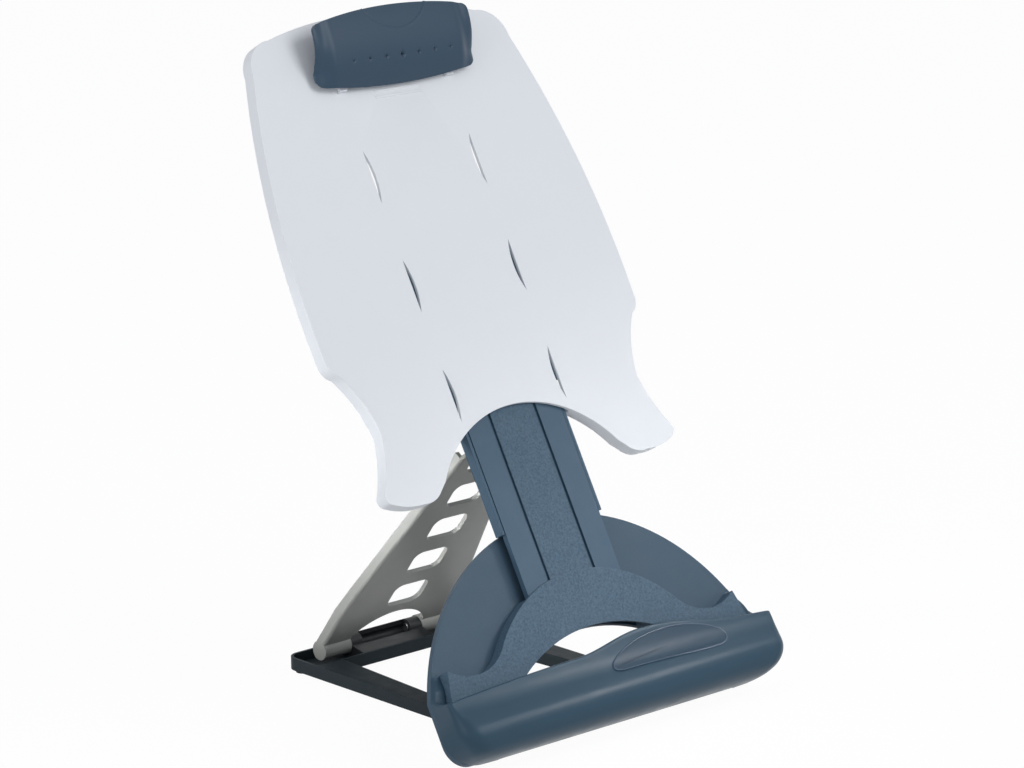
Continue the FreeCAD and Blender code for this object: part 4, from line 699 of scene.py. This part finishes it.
def make_screws():
    """One mesh of screws for each body that has some."""
    tree = screw_tree()
    inputs = {item.name: item.identifier for item in tree.interface.items_tree
              if item.in_out == "INPUT"}
    head, thread = screw_head(), screw_thread()
    stand = Matrix.Translation(on_mast(0, 0, 0)) @ Matrix.Rotation(LEAN, 4, "X")
    for (body, name), sets in SCREWS.items():
        points, lengths = [], []
        for node, places, seat, tip in sets:
            for x, y in places:
                points += [(-x * MM, y * MM, seat * MM), (x * MM, y * MM, seat * MM)]
                lengths += [tip - seat, tip - seat]
        cloud = new_mesh(name + "_points", points, [])
        cloud.attributes.new("length", "FLOAT", "POINT").data.foreach_set("value", lengths)
        holder = bpy.data.objects.new(name + "_points", cloud)
        bpy.context.scene.collection.objects.link(holder)
        modifier = holder.modifiers.new("screws", "NODES")
        modifier.node_group = tree
        modifier[inputs["Head"]] = head
        modifier[inputs["Thread"]] = thread
        modifier[inputs["Material"]] = zinc_steel
        modifier[inputs["Seed"]] = SCREW_SEED
        graph = bpy.context.evaluated_depsgraph_get()
        mesh = bpy.data.meshes.new_from_object(holder.evaluated_get(graph), depsgraph=graph)
        mesh.transform(stand)
        bpy.data.objects.remove(holder)
        place_mesh(name, mesh, zinc_steel, body, [row[0] for row in sets],
                   SCREW_SHARP)
    bpy.data.objects.remove(head)
    bpy.data.objects.remove(thread)


make_screws()


# Solids whose shape stays, with rounded edges --------------------------------------------------

# Solid, piece, material, body and width of the rounded edges.
MOULDINGS = [
    ("base_frame", "base_frame_moulding", dark_base, "base", 0.7),
    ("rear_hinge_block", "rear_block_moulding", black_block, "base", 0.6),
    ("mast", "mast_moulding", blue_satin, "mast", 0.5),
    ("mast_centre_strip", "mast_strip_moulding", blue_grain, "mast", 0.3),
    ("half_disc", "half_disc_moulding", blue_disc, "mast", 0.6),
    ("arch_band", "arch_band_moulding", blue_grain, "mast", 0.9),
    ("tilt_track", "tilt_track_moulding", dark_base, "mast", 0.4),
    ("prop_leg", "leg_pressing", leg_enamel, "leg", 0.4),
    ("document_board", "board_moulding", white_board, "board", 0.8),
    ("slide_rail_left", "rail_left_moulding", blue_satin, "board", 0.3),
    ("slide_rail_right", "rail_right_moulding", blue_satin, "board", 0.3),
    ("clip_bracket", "clip_bracket_moulding", white_board, "board", 0.3),
    ("clip_jaw_pads", "clip_jaw_mouldings", white_board, "clip", 0.3),
    ("rubber_feet", "rubber_foot_pads", soft_rubber, "base", 0.3),
    ("leg_hinge_pins", "leg_pins_turned", zinc_steel, "base", 0.35),
    ("front_hinge_pins", "front_pins_turned", zinc_steel, "base", 0.35),
    ("leg_top_pin", "top_pin_turned", zinc_steel, "leg", 0.35),
    ("leg_shoes", "leg_shoes_turned", white_acetal, "leg", 0.4),
    ("brake_pad_left", "brake_pad_left_rubber", soft_rubber, "board", 0.2),
    ("brake_pad_right", "brake_pad_right_rubber", soft_rubber, "board", 0.2),
    ("clip_pin", "clip_pin_turned", zinc_steel, "board", 0.3),
]
for row in MOULDINGS:
    softened(*row)

# The spring is bent wire, so its solid is kept as it is.
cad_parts["clip_spring"].data.materials.clear()
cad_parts["clip_spring"].data.materials.append(zinc_steel)


# Stage ----------------------------------------------------------------------------------------

FLOOR_WHITE = 0.96            # share of plain white in what the camera sees of the floor
SKY, SKY_STRENGTH = (0.93, 0.96, 1.0, 1), 0.5
WHITE = (1, 1, 1, 1)
# Place and target in metres, width and height of the box, watts, and its cone in degrees.
LAMPS = {
    "key": ((0.55, -1.3, 1.25), (0, 0, 0.17), 0.9, 0.9, 11.4, 180),
    "fill": ((-1.6, -0.1, 0.7), (0, 0, 0.15), 1.0, 1.0, 8, 180),
    "glint": ((0.4, -0.33, 0.43), (0.01, -0.09, 0.04), 0.2, 0.12, 0.06, 32),
    "low_left": ((-0.5, 0.26, 0.24), (-0.04, 0.075, 0.13), 0.1, 0.1, 0.085, 24),
}


def seen_directly(tree):
    """1 for rays of the camera, of mirrors and of glass."""
    path = add(tree, "ShaderNodeLightPath").outputs
    either = add(tree, "ShaderNodeMath", (), {0: path["Is Camera Ray"],
                                              1: path["Is Transmission Ray"]},
                 operation="MAXIMUM")
    return add(tree, "ShaderNodeMath", (), {0: either.outputs[0], 1: path["Is Glossy Ray"]},
               operation="MAXIMUM").outputs[0]


def white_to_camera(name, colour, share):
    """A matt surface that the camera sees mostly as plain white; it still takes shadows."""
    material = blank_material(name)
    tree = material.node_tree
    seen = add(tree, "ShaderNodeMath", {1: share}, {0: seen_directly(tree)},
               operation="MULTIPLY")
    matt = add(tree, "ShaderNodeBsdfDiffuse", {"Color": linear(colour)})
    glow = add(tree, "ShaderNodeEmission", {"Color": WHITE, "Strength": 1.0})
    both = add(tree, "ShaderNodeMixShader", (),
               {0: seen.outputs[0], 1: matt.outputs[0], 2: glow.outputs[0]})
    add(tree, "ShaderNodeOutputMaterial", (), {"Surface": both.outputs[0]})
    return material


def lamp(name, place, target, width, height, watts, spread):
    """A soft box that faces a point."""
    data = bpy.data.lights.new(name, "AREA")
    data.shape = "RECTANGLE"
    data.size = width
    data.size_y = height
    data.energy = watts
    data.spread = math.radians(spread)
    made = bpy.data.objects.new(name, data)
    bpy.context.scene.collection.objects.link(made)
    made.location = place
    made.rotation_euler = (Vector(target) - Vector(place)).to_track_quat("-Z", "Y").to_euler()


def view_from(azimuth, elevation, roll, focal, distance, target):
    """A camera at an angle around the object, turned by its roll."""
    a, e, r = (math.radians(x) for x in (azimuth, elevation, roll))
    back = Vector((-math.sin(a) * math.cos(e), -math.cos(a) * math.cos(e), math.sin(e)))
    right = Vector((math.cos(a), -math.sin(a), 0))
    up = back.cross(right)
    side = math.cos(r) * right + math.sin(r) * up
    over = -math.sin(r) * right + math.cos(r) * up
    data = bpy.data.cameras.new("camera")
    data.sensor_width = 36
    data.lens = focal
    data.clip_end = 50
    made = bpy.data.objects.new("camera", data)
    bpy.context.scene.collection.objects.link(made)
    made.matrix_world = Matrix.Translation(Vector(target) + back * distance) @ Matrix(
        (side, over, back)).transposed().to_4x4()
    bpy.context.scene.camera = made


floor_mesh = new_mesh("floor", [(-6, -6, 0), (6, -6, 0), (6, 9, 0), (-6, 9, 0)], [(0, 1, 2, 3)])
floor_mesh.materials.append(white_to_camera("matt_white_paper", "f4f4f4", FLOOR_WHITE))
floor = bpy.data.objects.new("floor", floor_mesh)
bpy.context.scene.collection.objects.link(floor)

world = bpy.data.worlds.new("studio")
bpy.context.scene.world = world
world.use_nodes = True
sky = world.node_tree
sky.nodes.clear()
soft = add(sky, "ShaderNodeBackground", {"Color": SKY, "Strength": SKY_STRENGTH})
bright = add(sky, "ShaderNodeBackground", {"Color": WHITE, "Strength": 1.0})
mixed = add(sky, "ShaderNodeMixShader", (), {0: seen_directly(sky), 1: soft.outputs[0],
                                             2: bright.outputs[0]})
add(sky, "ShaderNodeOutputWorld", (), {"Surface": mixed.outputs[0]})

for name, settings in LAMPS.items():
    lamp(name, *settings)
view_from(azimuth=42.304, elevation=13.888, roll=-0.532, focal=147.3, distance=2.17807,
          target=(-0.00071, -0.01184, 0.170359))
bpy.context.scene.view_settings.view_transform = "Standard"
